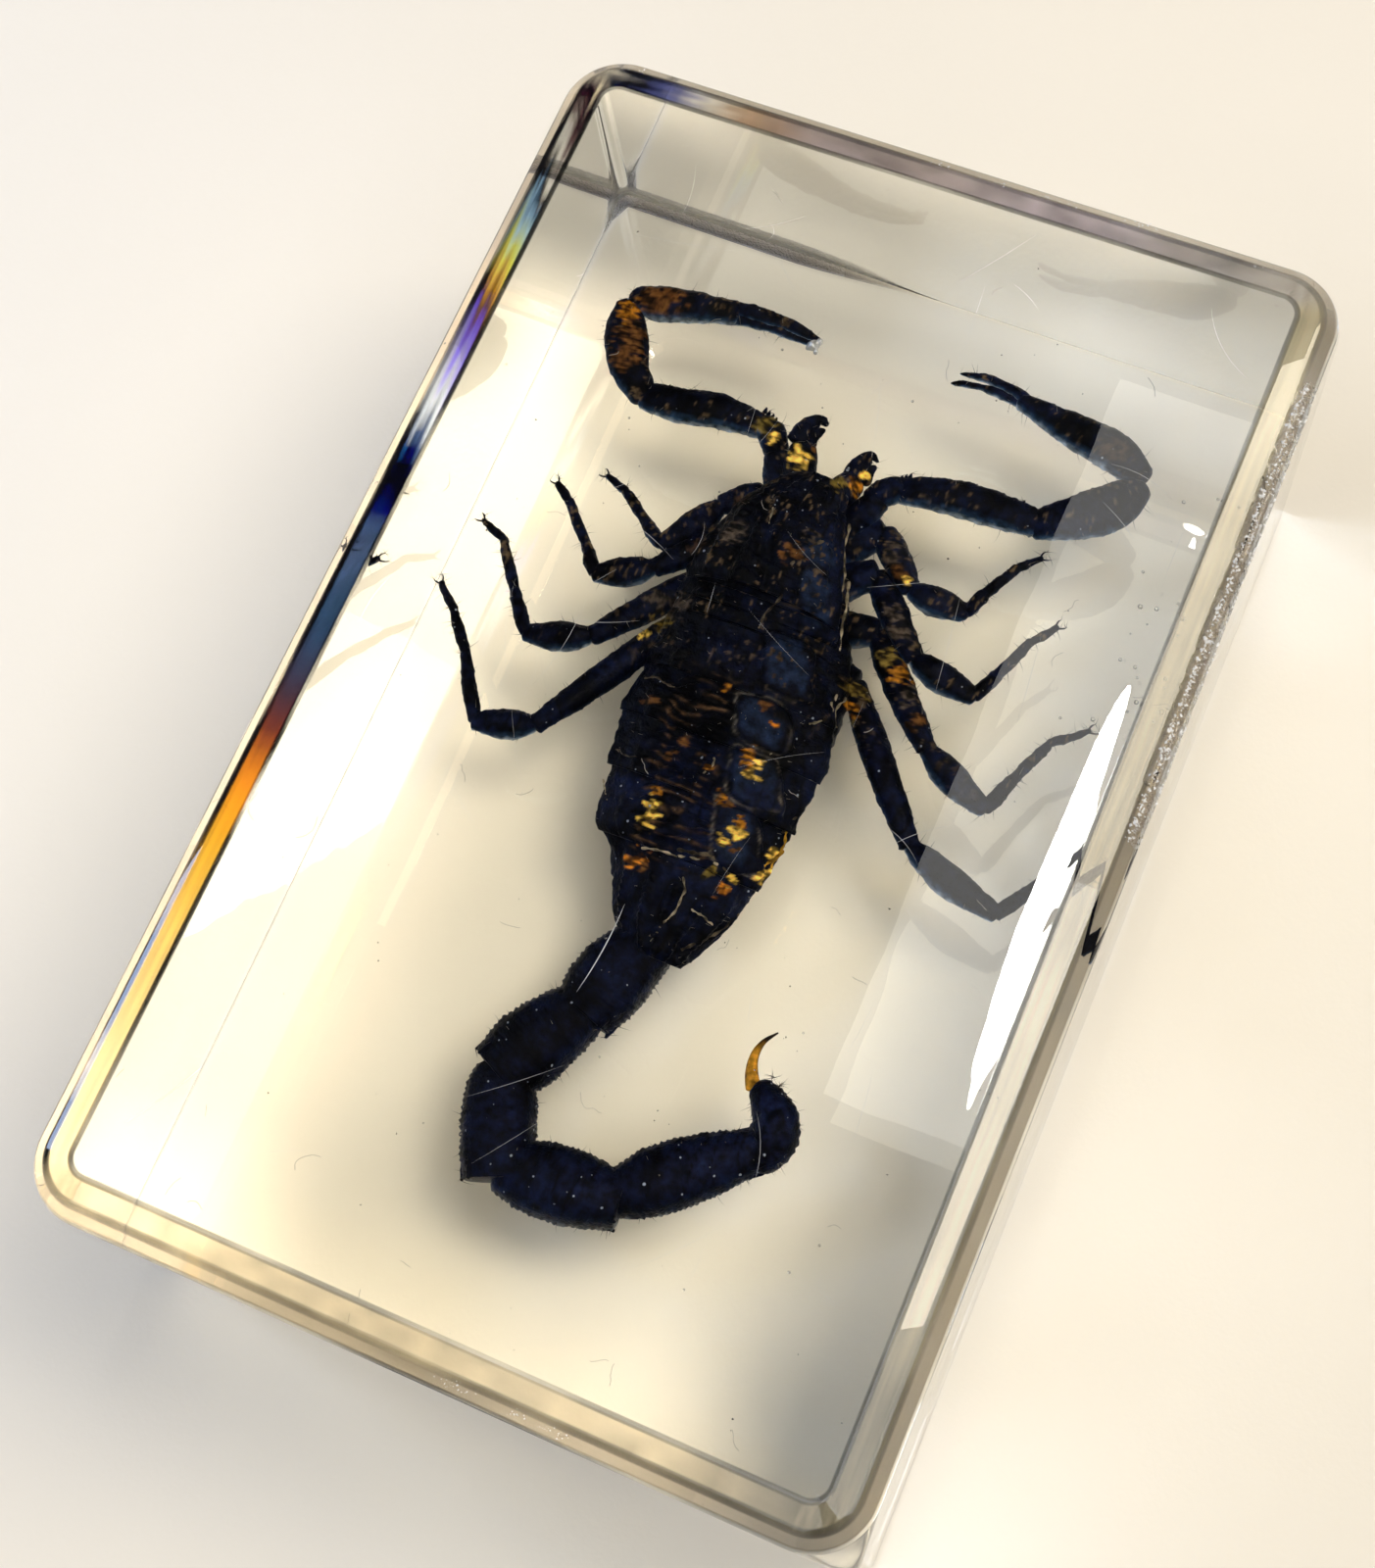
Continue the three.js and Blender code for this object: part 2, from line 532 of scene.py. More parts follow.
streak = hills(block_points * (4, 0.14, 4), 1.0, 67)
streak = streak + 0.5 * hills(block_points * (9, 0.3, 9), 1.0, 68)
lively = step_up(y, 8, 11) + 0.35
y_of_colour = np.clip(y + 1.9 * streak * lively, LEFT_PAINTED_BAND_Y[0], LEFT_PAINTED_BAND_Y[-1])
left_band = np.clip(through(LEFT_PAINTED_BAND_Y, LEFT_PAINTED_BAND, y_of_colour), 0, 1)
x_of_colour = np.clip(x + 0.8 * hills(block_points * (1, 4, 4), 1.2, 69),
                      FAR_PAINTED_BAND_X[0], FAR_PAINTED_BAND_X[-1])
far_band = np.clip(through(FAR_PAINTED_BAND_X, FAR_PAINTED_BAND, x_of_colour), 0, 1)
inner_band = (left_band * left[:, None] + far_band * far[:, None] + NEAR_PAINTED_BAND * near[:, None]
              + RIGHT_PAINTED_BAND * right[:, None]) / (left + far + near + right)[:, None]
inner_band = inner_band * (0.82 + 0.18 * cloud + 0.2 * np.clip(streak, -1, 0.5))[:, None]
outer_band = OUTER_LEFT_PAINTED * left[:, None] + OUTER_OTHER_PAINTED * (1 - left[:, None])

# white where nothing is painted; the painted bands go on the shallow facet, the paler ones on the
# steep facet
painted_edge_light_and_shade = np.ones((len(block_points), 3))
on_shallow = ridge == 3.5
on_shallow |= (ridge == 3) & (in_ridge >= 0.5)
on_shallow |= (ridge == 4) & (in_ridge <= 0.35)
painted_edge_light_and_shade[on_shallow] = inner_band[on_shallow]
on_steep = ridge == 2.5
on_steep |= (ridge == 3) & (in_ridge < 0.5)
on_steep |= (ridge == 2) & (in_ridge > 0.7)
painted_edge_light_and_shade[on_steep] = outer_band[on_steep]
print(f"{int(on_shallow.sum())} points are on the coloured facet")

# %% [markdown]
# Painted shade and wear come next. The ridges are darkened with painted shade, for the dark
# lines that the rounded edges draw, but much less at the far left corner. The far left of the
# base edge is ground, and greyed with painted shade; the flat base isn't, because it is one
# face and would take the shade all over. The right edge had knocks, so it is frosted between
# the shallow facet and the wall.

# %% Painted shade and frost
# painted shade: near black on the ridges, grey-violet along the far left of the base edge
RIDGE_PAINTED_SHADE, BASE_EDGE_PAINTED_SHADE = shades("#05060c", "#8b8591")
FROST_FROM, FROST_TO = 2.0, 29.0
FROST_DEPTH = 0.05
RIDGE_STRENGTH = {
    # how dark each ridge is on the left, far, near and right sides
    2: (1.0, 0.88, 0.55, 0.10),
    3: (1.0, 0.60, 0.66, 0.35),
    4: (0.96, 0.68, 0.66, 0.60),
}
# painted shade on the ridges, much weaker at the far left corner
less_shade_at_corner = step_up(y - x, 51.5, 54.5)
for number, strengths in RIDGE_STRENGTH.items():
    strength = (np.column_stack([left, far, near, right]) @ strengths
                / (left + far + near + right))
    uneven = np.clip(0.85 + 0.5 * hills(block_points, 3.1, 61 + number), 0.35, 1)
    dark = (strength * uneven * heart * (ridge == number) * (1 - 0.75 * less_shade_at_corner))[:, None]
    painted_edge_light_and_shade = painted_edge_light_and_shade * (1 - dark) + RIDGE_PAINTED_SHADE * dark
off_base_face = (ridge == 1) | ((ridge == 0) & (in_ridge > 0))
# the far left of the base edge: ground, and greyed with painted shade
ground_and_shaded_edge = off_base_face * step_up(y, 33, 34) * step_up(-2 - x, 0, 9)
base_edge_shade = ground_and_shaded_edge[:, None] * 0.7
painted_edge_light_and_shade = np.clip(painted_edge_light_and_shade * (1 - base_edge_shade) + BASE_EDGE_PAINTED_SHADE * base_edge_shade, 0, 1)
painted_edge_light_and_shade = painted_edge_light_and_shade ** 2

along_frost = step_up(y, FROST_FROM, FROST_FROM + 5) * step_up(FROST_TO - y, 0, 2)
patchy = step_up(hills(block_points, 0.5, 64) + 0.6 * hills(block_points, 1.7, 65), -0.6, 0.3)
on_edge = (ridge == 2) | ((ridge == 3) & (in_ridge < 0.6))
frost = right * along_frost * patchy * on_edge + ground_and_shaded_edge * 0.8
worn_off = frost * right * FROST_DEPTH * (1 + hills(block_points, 0.3, 66))
block_points -= np.column_stack([way, np.full(len(way), 0.6)]) * worn_off[:, None]
print(f"{int((frost > 0.5).sum())} points of the block's edge are frosted")

# %% [markdown]
# The resin is a clear cast polyester, polished to a gloss. It bends light by 1.55, a bit more
# than window glass, and it is very slightly yellow through its whole depth. That yellow is
# absorption in the volume, not a tint on the surface, so thick parts are warmer than thin
# ones. A polishing wheel leaves the top a little wavy, which a very weak bump gives. Where
# the edge is frosted, a fine grit stands on the waves and the gloss is gone.

# %% Polished clear resin
RESIN_IOR = 1.55
WHEEL_WAVE, WHEEL_HEIGHT = 7, 0.02
GRIT, GRIT_HEIGHT = 0.12, 0.12
FROST_ROUGHNESS = 0.55
HARDLY_YELLOW = (0.985, 0.97, 0.76, 1)  # linear, as the volume wants it
YELLOW_PER_METRE = 8.0

polished_resin, tree, shader = new_material("polished_clear_cast_resin", {
    "IOR": RESIN_IOR,
    "Transmission Weight": 1.0,
})
edge = add(tree, "VertexColor", layer_name="painted_edge_light_and_shade").outputs["Color"]
frosting = add(tree, "VertexColor", layer_name="frost").outputs["Color"]
waves = bump(tree, shader, noise(tree, WHEEL_WAVE, detail=1), 0.35, WHEEL_HEIGHT)
grit = calculate(tree, "MULTIPLY", noise(tree, GRIT, detail=3), frosting)
bump(tree, shader, grit, 1.0, GRIT_HEIGHT, over=waves)
dullness = calculate(tree, "MULTIPLY", frosting, FROST_ROUGHNESS)
# the painted edge light and shade tint the resin's colour, so they show in what is seen through it
tree.links.new(edge, shader.inputs["Base Color"])
tree.links.new(dullness, shader.inputs["Roughness"])
yellowing = add(tree, "VolumeAbsorption", {"Color": HARDLY_YELLOW, "Density": YELLOW_PER_METRE})
tree.links.new(yellowing.outputs["Volume"], tree.nodes["Material Output"].inputs["Volume"])

block = make_piece("clear_block", block_points, block_faces, polished_resin,
                   layers={"painted_edge_light_and_shade": painted_edge_light_and_shade, "frost": np.repeat(frost[:, None], 3, 1)},
                   normals=block_normals)
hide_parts(BLOCK_NODE)

# %% [markdown]
# ## How the scorpion is built
#
# A scorpion's armour is a set of stiff shells, one for each joint of its body, and every
# shell is a tube or a plate with a rough skin. So two tools make nearly the whole animal: a
# loft that sweeps an oval section along a curve, and a plate that follows the trunk.
#
# The cuticle is blue-black where it is thick, and brown, amber or gold where it is thin and
# light comes through it from the paper below. Those thin places are listed once, by where
# they are on the animal. Noise breaks up their outlines, because a real thin place is a
# crumpled window and not a disc.

# %% Where the cuticle is thin
THICK = np.array([0.0026, 0.0045, 0.0165])  # linear: too dark for a hex colour to be exact
# painted sheen colours, blue and pale, for the sides that face the near end; and a brown fleck
# colour
BLUE_SHEEN, PALE_SHEEN, FLECK = shades("#2c4460", "#b4c5d8", "#66543d")
GOLD, AMBER, ORANGE = "#ffd05c", "#b0701c", "#cf7c22"
BROWN, DARK_BROWN, OLIVE, GREY_BROWN = "#5f3d1d", "#33241a", "#6f5c28", "#4a4038"
THIN_PLACES = [
    # x, y, radius, colour
    (1.3, 1.1, 0.55, GOLD), (1.55, 1.75, 0.4, GOLD), (0.8, 2.2, 0.42, AMBER),
    (0.7, 1.5, 0.4, AMBER), (-1.0, 0.6, 0.3, AMBER),
    (-2.9, -3.0, 0.7, GOLD), (-3.0, -2.2, 0.55, GOLD), (-3.1, -1.7, 0.35, AMBER),
    (0.3, -0.8, 0.4, AMBER), (0.9, -1.0, 0.35, BROWN), (1.9, -1.7, 0.4, AMBER),
    (1.8, -2.4, 0.62, GOLD), (1.5, -2.9, 0.5, GOLD), (2.0, -3.2, 0.4, BROWN),
    (-2.7, -5.6, 0.62, ORANGE), (-2.2, -6.0, 0.4, BROWN),
    (2.4, -5.2, 0.62, ORANGE), (2.65, -4.75, 0.42, GOLD), (1.4, -5.0, 0.4, OLIVE),
    (1.5, 4.1, 0.35, ORANGE), (0.5, 5.0, 0.4, BROWN), (-1.9, 5.2, 0.3, AMBER),
    (-2.9, 1.4, 0.5, BROWN), (-3.3, 0.4, 0.4, BROWN), (-5.6, 3.1, 0.5, BROWN),
    (4.0, -2.4, 0.4, GOLD), (4.3, -3.3, 0.45, GOLD), (3.9, -4.0, 0.4, GOLD),
    (4.9, 6.2, 0.4, OLIVE), (-15.2, 26.5, 1.7, BROWN), (-16.2, 23.5, 1.3, BROWN),
    (-15.8, 22.3, 0.9, BROWN), (-16.8, 25.2, 0.8, AMBER), (-6.4, 21.2, 0.8, OLIVE),
    (-5.6, 20.6, 0.4, GOLD), (12.9, 26.7, 1.1, DARK_BROWN), (-3.5, 19.9, 0.72, GOLD),
    (-3.0, 20.6, 0.4, BROWN), (0.1, 19.4, 0.5, AMBER), (0.35, 20.2, 0.35, GOLD),
    (-0.9, 18.9, 0.6, OLIVE), (-0.9, 15.2, 0.5, GREY_BROWN), (-1.5, 13.9, 0.7, BROWN),
    (3.6, 16.3, 0.75, GREY_BROWN), (4.4, 15.6, 0.6, BROWN), (4.9, 15.1, 0.35, GOLD),
    (4.7, 13.2, 0.8, GREY_BROWN), (5.8, 12.1, 0.6, GREY_BROWN), (5.6, 10.6, 0.7, OLIVE),
    (6.6, 9.8, 0.7, AMBER), (7.4, 8.8, 0.6, GREY_BROWN), (8.4, 7.6, 0.6, BROWN),
    (4.7, 8.1, 0.7, OLIVE), (4.9, 7.1, 0.5, AMBER), (-7.2, 7.9, 0.7, OLIVE),
    (-7.9, 6.9, 0.45, GOLD), (-6.4, 9.0, 0.8, GREY_BROWN), (-8.2, 9.0, 0.8, GREY_BROWN),
    (-5.2, 13.9, 0.8, GREY_BROWN), (-7.0, 13.0, 0.6, DARK_BROWN), (-5.9, 16.4, 0.7, DARK_BROWN),
]


def cuticle_colours(points, normals, near_side_sheen):
    """Colour at each point; the last argument paints a blue and pale sheen on the sides that face
    the near end.
    """
    mottle = (0.9 + 0.8 * hills(points, 2.4, 2) + 0.6 * hills(points, 0.8, 3)
              + 0.35 * hills(points, 0.3, 4))
    colours = THICK * np.clip(mottle, 0.12, 2.6)[:, None]
    crack = np.exp(-(hills(points * (1, 0.5, 1), 0.9, 17) / 0.12) ** 2)
    colours = colours * (1 - 0.8 * crack)[:, None]
    fleck = hills(points * (1.5, 0.8, 1), 0.27, 14) + 0.5 * hills(points, 1.1, 15)
    fleck = step_up(fleck, 0.5, 0.75)
    fleck = (fleck * step_up(points[:, 1], 3, 10) * (normals[:, 2] > -0.2) * 0.7)[:, None]
    colours = colours * (1 - fleck) + FLECK * fleck
    streaked = points * (1, 2.6, 1)
    crumple = hills(streaked, 0.5, 11) * 0.75 + hills(points, 0.5, 12) * 0.35
    bright = hills(streaked, 0.36, 13) + 0.4 * hills(points, 0.22, 16)
    bright = 0.1 + 1.15 * step_up(bright, -0.45, 0.25)
    for x, y, radius, colour in THIN_PLACES:
        reach = np.hypot(points[:, 0] - x, points[:, 1] - y) / radius
        thin = step_up(1.15 - reach + crumple, 0.25, 0.6)[:, None] * (normals[:, 2:] > -0.3)
        colours = colours * (1 - thin) + shades(colour)[0] * bright[:, None] * thin
    # painted sheen on the sides that face the near end and down: blue, and pale where they face it
    # most
    facing = -normals[:, 1] - 0.35 * normals[:, 2] + 0.12 * hills(points, 0.3, 5)
    blue = (step_up(facing, 0.15, 0.6) * near_side_sheen * 0.9)[:, None]
    pale_sheen = (step_up(facing, 0.6, 1.0) * near_side_sheen)[:, None]
    colours = colours * (1 - blue) + BLUE_SHEEN * blue
    return colours * (1 - pale_sheen) + PALE_SHEEN * pale_sheen


print(len(THIN_PLACES), "thin places")

# %% [markdown]
# The loft. Each ring is an oval across the curve, with bumps round it for keels. A keel is a
# raised line that runs along a shell, like the edges of a pencil, and on a scorpion it is a
# row of grains, so its height goes up and down along the shell.

# %% Loft an oval shell along a curve
RING = 32
LOFT_STEP = 0.11
END_RINGS = 6
KEEL_WIDTH = 0.13


def shell(path, half_wide, half_high, keels=(), keel_height=0.1, keel_spacing=0.4, square=2.0,
          blunt=(0.5, 0.5), wrinkle=0.05, grain=0.03, seed=0, near_side_sheen=0.0, up=(0, 0, 1)):
    """A closed shell as points, faces, colours and outward directions.

    `path` is a list of points; the half sizes are lists read evenly along it; `keels` are
    angles in degrees from the right-hand side, 90 being the back; `square` above 2 makes the
    section boxier; `blunt` is how far each end takes to round off."""
    path = np.asarray(path, float)
    gaps = np.linalg.norm(np.diff(path, axis=0), axis=1)
    marks = np.concatenate([[0], np.cumsum(gaps)])
    length = marks[-1]
    ends = [np.linspace(0, 1, END_RINGS + 1)[1:] ** 2 * b for b in blunt]
    inner = np.arange(blunt[0], length - blunt[1], LOFT_STEP)[1:]
    at = np.concatenate([ends[0], inner, length - ends[1][::-1]])
    at[0], at[-1] = ends[0][0] * 0.5, length - ends[1][0] * 0.5
    centre = through(marks, path, at)
    along = unit(np.gradient(centre, at, axis=0))
    right = unit(np.cross(along, np.array(up, float)))
    top = np.cross(right, along)
    cap = np.sqrt(np.clip(1 - (1 - np.clip(at / blunt[0], 0, 1)) ** 2, 0, 1))
    cap *= np.sqrt(np.clip(1 - (1 - np.clip((length - at) / blunt[1], 0, 1)) ** 2, 0, 1))
    wide = through(np.linspace(0, length, len(half_wide)), half_wide, at) * cap
    high = through(np.linspace(0, length, len(half_high)), half_high, at) * cap

    angle = np.linspace(0, 2 * np.pi, RING, endpoint=False)
    cos, sin = np.cos(angle), np.sin(angle)
    box = (np.abs(cos) ** square + np.abs(sin) ** square) ** (-1 / square)
    keel = np.zeros((len(at), RING))
    for k, place in enumerate(keels):
        off = np.angle(np.exp(1j * (angle - np.radians(place))))
        teeth = 0.6 + 0.4 * np.cos(2 * np.pi * at / keel_spacing + k)
        keel += np.exp(-(off / KEEL_WIDTH) ** 2) * teeth[:, None] * keel_height
    spread_x = cos * box * (wide[:, None] + keel * cap[:, None])
    spread_z = sin * box * (high[:, None] + keel * cap[:, None])
    points = (centre[:, None] + right[:, None] * spread_x[..., None]
              + top[:, None] * spread_z[..., None]).reshape(-1, 3)
    outward = (right[:, None] * (cos / np.maximum(wide[:, None], 0.05))[..., None]
               + top[:, None] * (sin / np.maximum(high[:, None], 0.05))[..., None])
    outward = unit(outward.reshape(-1, 3))
    rough = (wrinkle * hills(points, 0.55, seed + 20)
             + 0.5 * wrinkle * hills(points, 0.27, seed + 21)
             + grain * np.maximum(hills(points, 0.16, seed + 22), 0) * 2)
    points = points + outward * (rough * np.repeat(cap, RING))[:, None]

    ring = np.arange(RING)
    faces = []
    for row in range(len(at) - 1):
        a, b = row * RING + ring, row * RING + (ring + 1) % RING
        faces += np.column_stack([a, b, b + RING, a + RING]).tolist()
    faces.append(ring[::-1].tolist())
    faces.append(((len(at) - 1) * RING + ring).tolist())
    return points, faces, cuticle_colours(points, outward, near_side_sheen), outward


def joined(parts):
    """Several shells as one set of points, faces, colours and outward directions."""
    faces, count = [], 0
    for part in parts:
        faces += renumbered(part[1], count)
        count += len(part[0])
    points, colours, outward = (np.concatenate([part[i] for part in parts]) for i in (0, 2, 3))
    return points, faces, colours, outward


print("a shell has", RING, "points round and a ring every", LOFT_STEP, "mm")

# %% [markdown]
# Chitin is the stuff of the armour: a horny plastic, blue-black and wrinkled here. Set in
# resin it hardly shines, because resin and chitin bend light almost alike, so its IOR is set
# low. What glints are specks of trapped air and dust, sprinkled by a cell pattern: a speck is
# the middle of a cell, and only some of the cells have one. The grains are 0.15 mm and the
# wrinkles 0.5 mm, as on a scorpion of this size.

# %% Blue-black chitin
GRAIN, WRINKLE, SPECK, SKIN_HEIGHT = 0.15, 0.5, 0.40, 0.07
CHITIN_IOR = 1.16


def chitin_material(name, roughness, glint_share, strength):
    made, tree, shader = new_material(name, {"IOR": CHITIN_IOR, "Roughness": roughness})
    cuticle = add(tree, "VertexColor", layer_name="cuticle").outputs["Color"]
    blotch = noise(tree, WRINKLE, detail=4)
    uneven = add(tree, "MapRange", {"From Min": 0.3, "From Max": 0.75, "To Min": 0.3,
                                    "To Max": 2.1}, {"Value": blotch})
    toned = add(tree, "Mix", {"Factor": 1.0}, {"A": cuticle, "B": uneven.outputs["Result"]},
                data_type="RGBA", blend_type="MULTIPLY")
    place = add(tree, "TexCoord").outputs["Object"]
    cells = add(tree, "TexVoronoi", {"Scale": per_mm(SPECK)}, {"Vector": place})
    ragged = calculate(tree, "MULTIPLY", cells.outputs["Distance"], blotch)
    near = add(tree, "MapRange", {"From Min": 0.09, "From Max": 0.05, "To Min": 0, "To Max": 0.9},
               {"Value": ragged})
    lot = add(tree, "SeparateColor", feeds={"Color": cells.outputs["Color"]}).outputs["Red"]
    drawn = calculate(tree, "LESS_THAN", lot, glint_share)
    speck = calculate(tree, "MULTIPLY", near.outputs["Result"], drawn)
    speckled = add(tree, "Mix", {"B": paint("#a9b3c2")},
                   {"A": toned.outputs["Result"], "Factor": speck}, data_type="RGBA")
    tree.links.new(speckled.outputs["Result"], shader.inputs["Base Color"])
    skin = calculate(tree, "ADD", noise(tree, GRAIN, detail=3), blotch)
    bump(tree, shader, skin, strength, SKIN_HEIGHT)
    return made


armour = chitin_material("blue_black_wrinkled_chitin", 0.36, 0.10, 0.9)
limb_armour = chitin_material("granular_limb_chitin", 0.42, 0.05, 0.7)
skins = {}


def chitin_piece(name, parts, material=armour):
    """One piece of armour from its shells; its skin is kept, so hairs can grow on it."""
    points, faces, colours, outward = joined(parts)
    skins[name] = (points, outward)
    return make_piece(name, points, faces, material, layers={"cuticle": colours})


# %% [markdown]
# ## The trunk
#
# Under the plates the trunk is one soft bag, dried flat and wrinkled. It is lofted first,
# along the line from the head to the root of the tail. Its half widths are read off every
# few millimetres, and it is widest just behind the legs.

# %% The trunk's middle line and widths
TRUNK = np.array([
    # y, middle x, half width, middle z, half height
    (18.8, -2.0, 1.9, 9.8, 1.5),
    (17.0, -2.4, 2.9, 9.8, 2.0),
    (14.5, -2.5, 3.9, 9.7, 2.3),
    (12.0, -2.4, 4.7, 9.6, 2.4),
    (10.8, -2.2, 4.8, 9.5, 2.4),
    (8.0, -1.6, 5.1, 9.4, 2.5),
    (5.5, -1.25, 5.75, 9.3, 2.5),
    (3.3, -1.15, 6.15, 9.2, 2.5),
    (0.5, -1.1, 5.75, 9.2, 2.4),
    (-2.5, -0.9, 5.35, 9.2, 2.3),
    (-4.3, -0.8, 4.9, 9.2, 2.2),
    (-5.6, -0.2, 3.95, 9.2, 2.0),
    (-7.1, -0.1, 3.4, 9.2, 1.8),
    (-8.7, -0.1, 2.55, 9.2, 1.6),
    (-9.9, 0.1, 1.7, 9.2, 1.4),
])


def trunk_at(y):
    """Middle x, half width, middle z and half height of the trunk at these y."""
    order = TRUNK[::-1]
    return through(order[:, 0], order[:, 1:], np.asarray(y, float)).T


def on_back(x, y, lift=0.3):
    """The point on the trunk's back above this x and y."""
    middle_x, half_wide, middle_z, half_high = trunk_at([y])[:, 0]
    across = np.clip((x - middle_x) / half_wide, -0.98, 0.98)
    return np.array([x, y, middle_z + half_high * np.sqrt(1 - across ** 2) + lift])


bag_y = TRUNK[:, 0]
bag = shell(np.column_stack([TRUNK[:, 1], bag_y, TRUNK[:, 3] - 0.2]),
            [1.6, 2.9, 3.8, 4.6, 5.0, 5.5, 5.9, 5.75, 5.4, 5.2, 4.9, 4.1, 3.3, 2.6, 1.4],
            [1.3, 1.8, 2.0, 2.1, 2.2, 2.2, 2.2, 2.2, 2.1, 2.1, 2.0, 1.8, 1.6, 1.4, 1.1],
            square=2.3, blunt=(1.5, 0.9), wrinkle=0.14, grain=0.05, seed=1)
chitin_piece("trunk_membrane", [bag])
print(f"the trunk is {bag_y[0] - bag_y[-1]:.1f} mm long and {TRUNK[:, 2].max() * 2:.1f} mm wide")

# %% [markdown]
# The back is covered by a shield over the head part and seven plates behind it, laid like
# roof tiles: each plate's rear edge stands a little over the next one. When the body dried,
# the soft skin between them shrank. It pulled the right half of each plate into a raised
# tile with a round rear corner, and crumpled the middle into brown cross wrinkles. The
# helpers below say where a tile is and how high a wrinkle stands; both the shape and the
# colour of the plates use them, so they stay together.

# %% Tiles and wrinkles of the dried back
TILES = [
    # middle x, middle y, half width, half length
    (0.4, 12.9, 1.15, 2.9), (0.75, 7.6, 1.45, 1.75), (0.75, 4.0, 1.6, 1.35), (1.6, 0.85, 1.5, 1.45),
    (1.85, -2.5, 1.35, 1.75),
]
TILE_LEAN = 0.33
WRINKLE_EVERY = 0.62
BROWN_FROM = [(-9.0, -3.2), (-4.9, -3.4), (-2.7, -3.9), (0.1, -4.5), (2.9, -4.7), (6.0, -4.4)]
BROWN_TO = [(-9.0, 1.2), (-4.2, 1.3), (-0.8, 0.3), (1.8, -0.7), (3.8, -1.0), (6.0, -1.0)]


def tile_reach(points):
    """For each point, how far out it is in its nearest tile: 1 is the tile's edge."""
    reaches = []
    for x, y, half_x, half_y in TILES:
        dy = points[:, 1] - y
        dx = points[:, 0] - x + TILE_LEAN * dy + 0.2 * hills(points, 0.7, 40)
        dy = dy + 0.16 * hills(points, 0.6, 39)
        reaches.append((np.abs(dx / half_x) ** 4 + np.abs(dy / half_y) ** 4) ** 0.25)
    return np.min(reaches, axis=0)


def wrinkles(points):
    """Cross wrinkles from 0 to 1, warped by noise."""
    phase = points[:, 1] + 0.55 * hills(points, 1.6, 41) + 0.15 * hills(points, 0.4, 42)
    return (0.5 + 0.5 * np.sin(2 * np.pi * phase / WRINKLE_EVERY)) ** 2


def crumpled(points):
    """How far a point belongs to the crumpled middle of the back, from 0 to 1."""
    (y_from, x_from), (y_to, x_to) = np.array(BROWN_FROM).T, np.array(BROWN_TO).T
    left_edge, right_edge = (np.interp(points[:, 1], *edge) for edge in
                             ((y_from, x_from), (y_to, x_to)))
    inside = step_up(points[:, 0] - left_edge, -0.2, 0.3)
    inside = inside * step_up(right_edge - points[:, 0], 0, 0.3)
    return inside * step_up(6.5 - points[:, 1], 0, 2.5) * step_up(points[:, 1], -5.6, -4.6)


print(len(TILES), "tiles, and a wrinkle every", WRINKLE_EVERY, "mm")

# %% [markdown]
# The colours of the back: slate on the tiles, a pale skin round them and brown on the
# wrinkles. Slate and brown only go on thick cuticle, which is the dark kind, so the thin
# places keep their gold.

# %% Colours of the back
SLATE, PALE_SKIN, WRINKLE_BROWN = shades("#1c2942", "#8d8373", "#5d4630")
THICK_BELOW = 0.09


def back_colours(points, colours):
    """The cuticle's colours with those of the back laid over them."""
    reach = tile_reach(points)
    tile = step_up(0.95 - reach, 0, 0.3) * step_up(hills(points, 0.8, 43), -0.8, 0.2) * 0.8
    dark = colours.sum(axis=1) < THICK_BELOW
    shaded = step_up(-points[:, 0], 0, 1.5) * step_up(points[:, 1], 1, 4) * dark
    colours = colours * (1 - 0.45 * shaded)[:, None]
    tile = (tile * dark)[:, None]
    colours = colours * (1 - tile) + SLATE * tile
    rim = np.exp(-((reach - 1.04) / 0.045) ** 2) * step_up(hills(points, 0.6, 44), -0.55, 0.25)
    brown = wrinkles(points) ** 2 * crumpled(points) * step_up(hills(points, 0.55, 45), -0.25, 0.5)
    brown = (brown * 0.85 * dark)[:, None]
    colours = colours * (1 - brown) + WRINKLE_BROWN * brown
    rim = (rim * 0.4 * (points[:, 1] < 6) * (points[:, 1] > -4.2))[:, None]
    return colours * (1 - rim) + PALE_SKIN * rim


print("slate is", SLATE.round(3))

# %% [markdown]
# A plate is a curved sheet with a thickness. It is drawn as a grid that follows the trunk's
# oval, and the underside is the same grid a little further in, so the plate is a closed solid.

# %% Make one plate
PLATE_ACROSS, PLATE_STEP = 110, 0.085


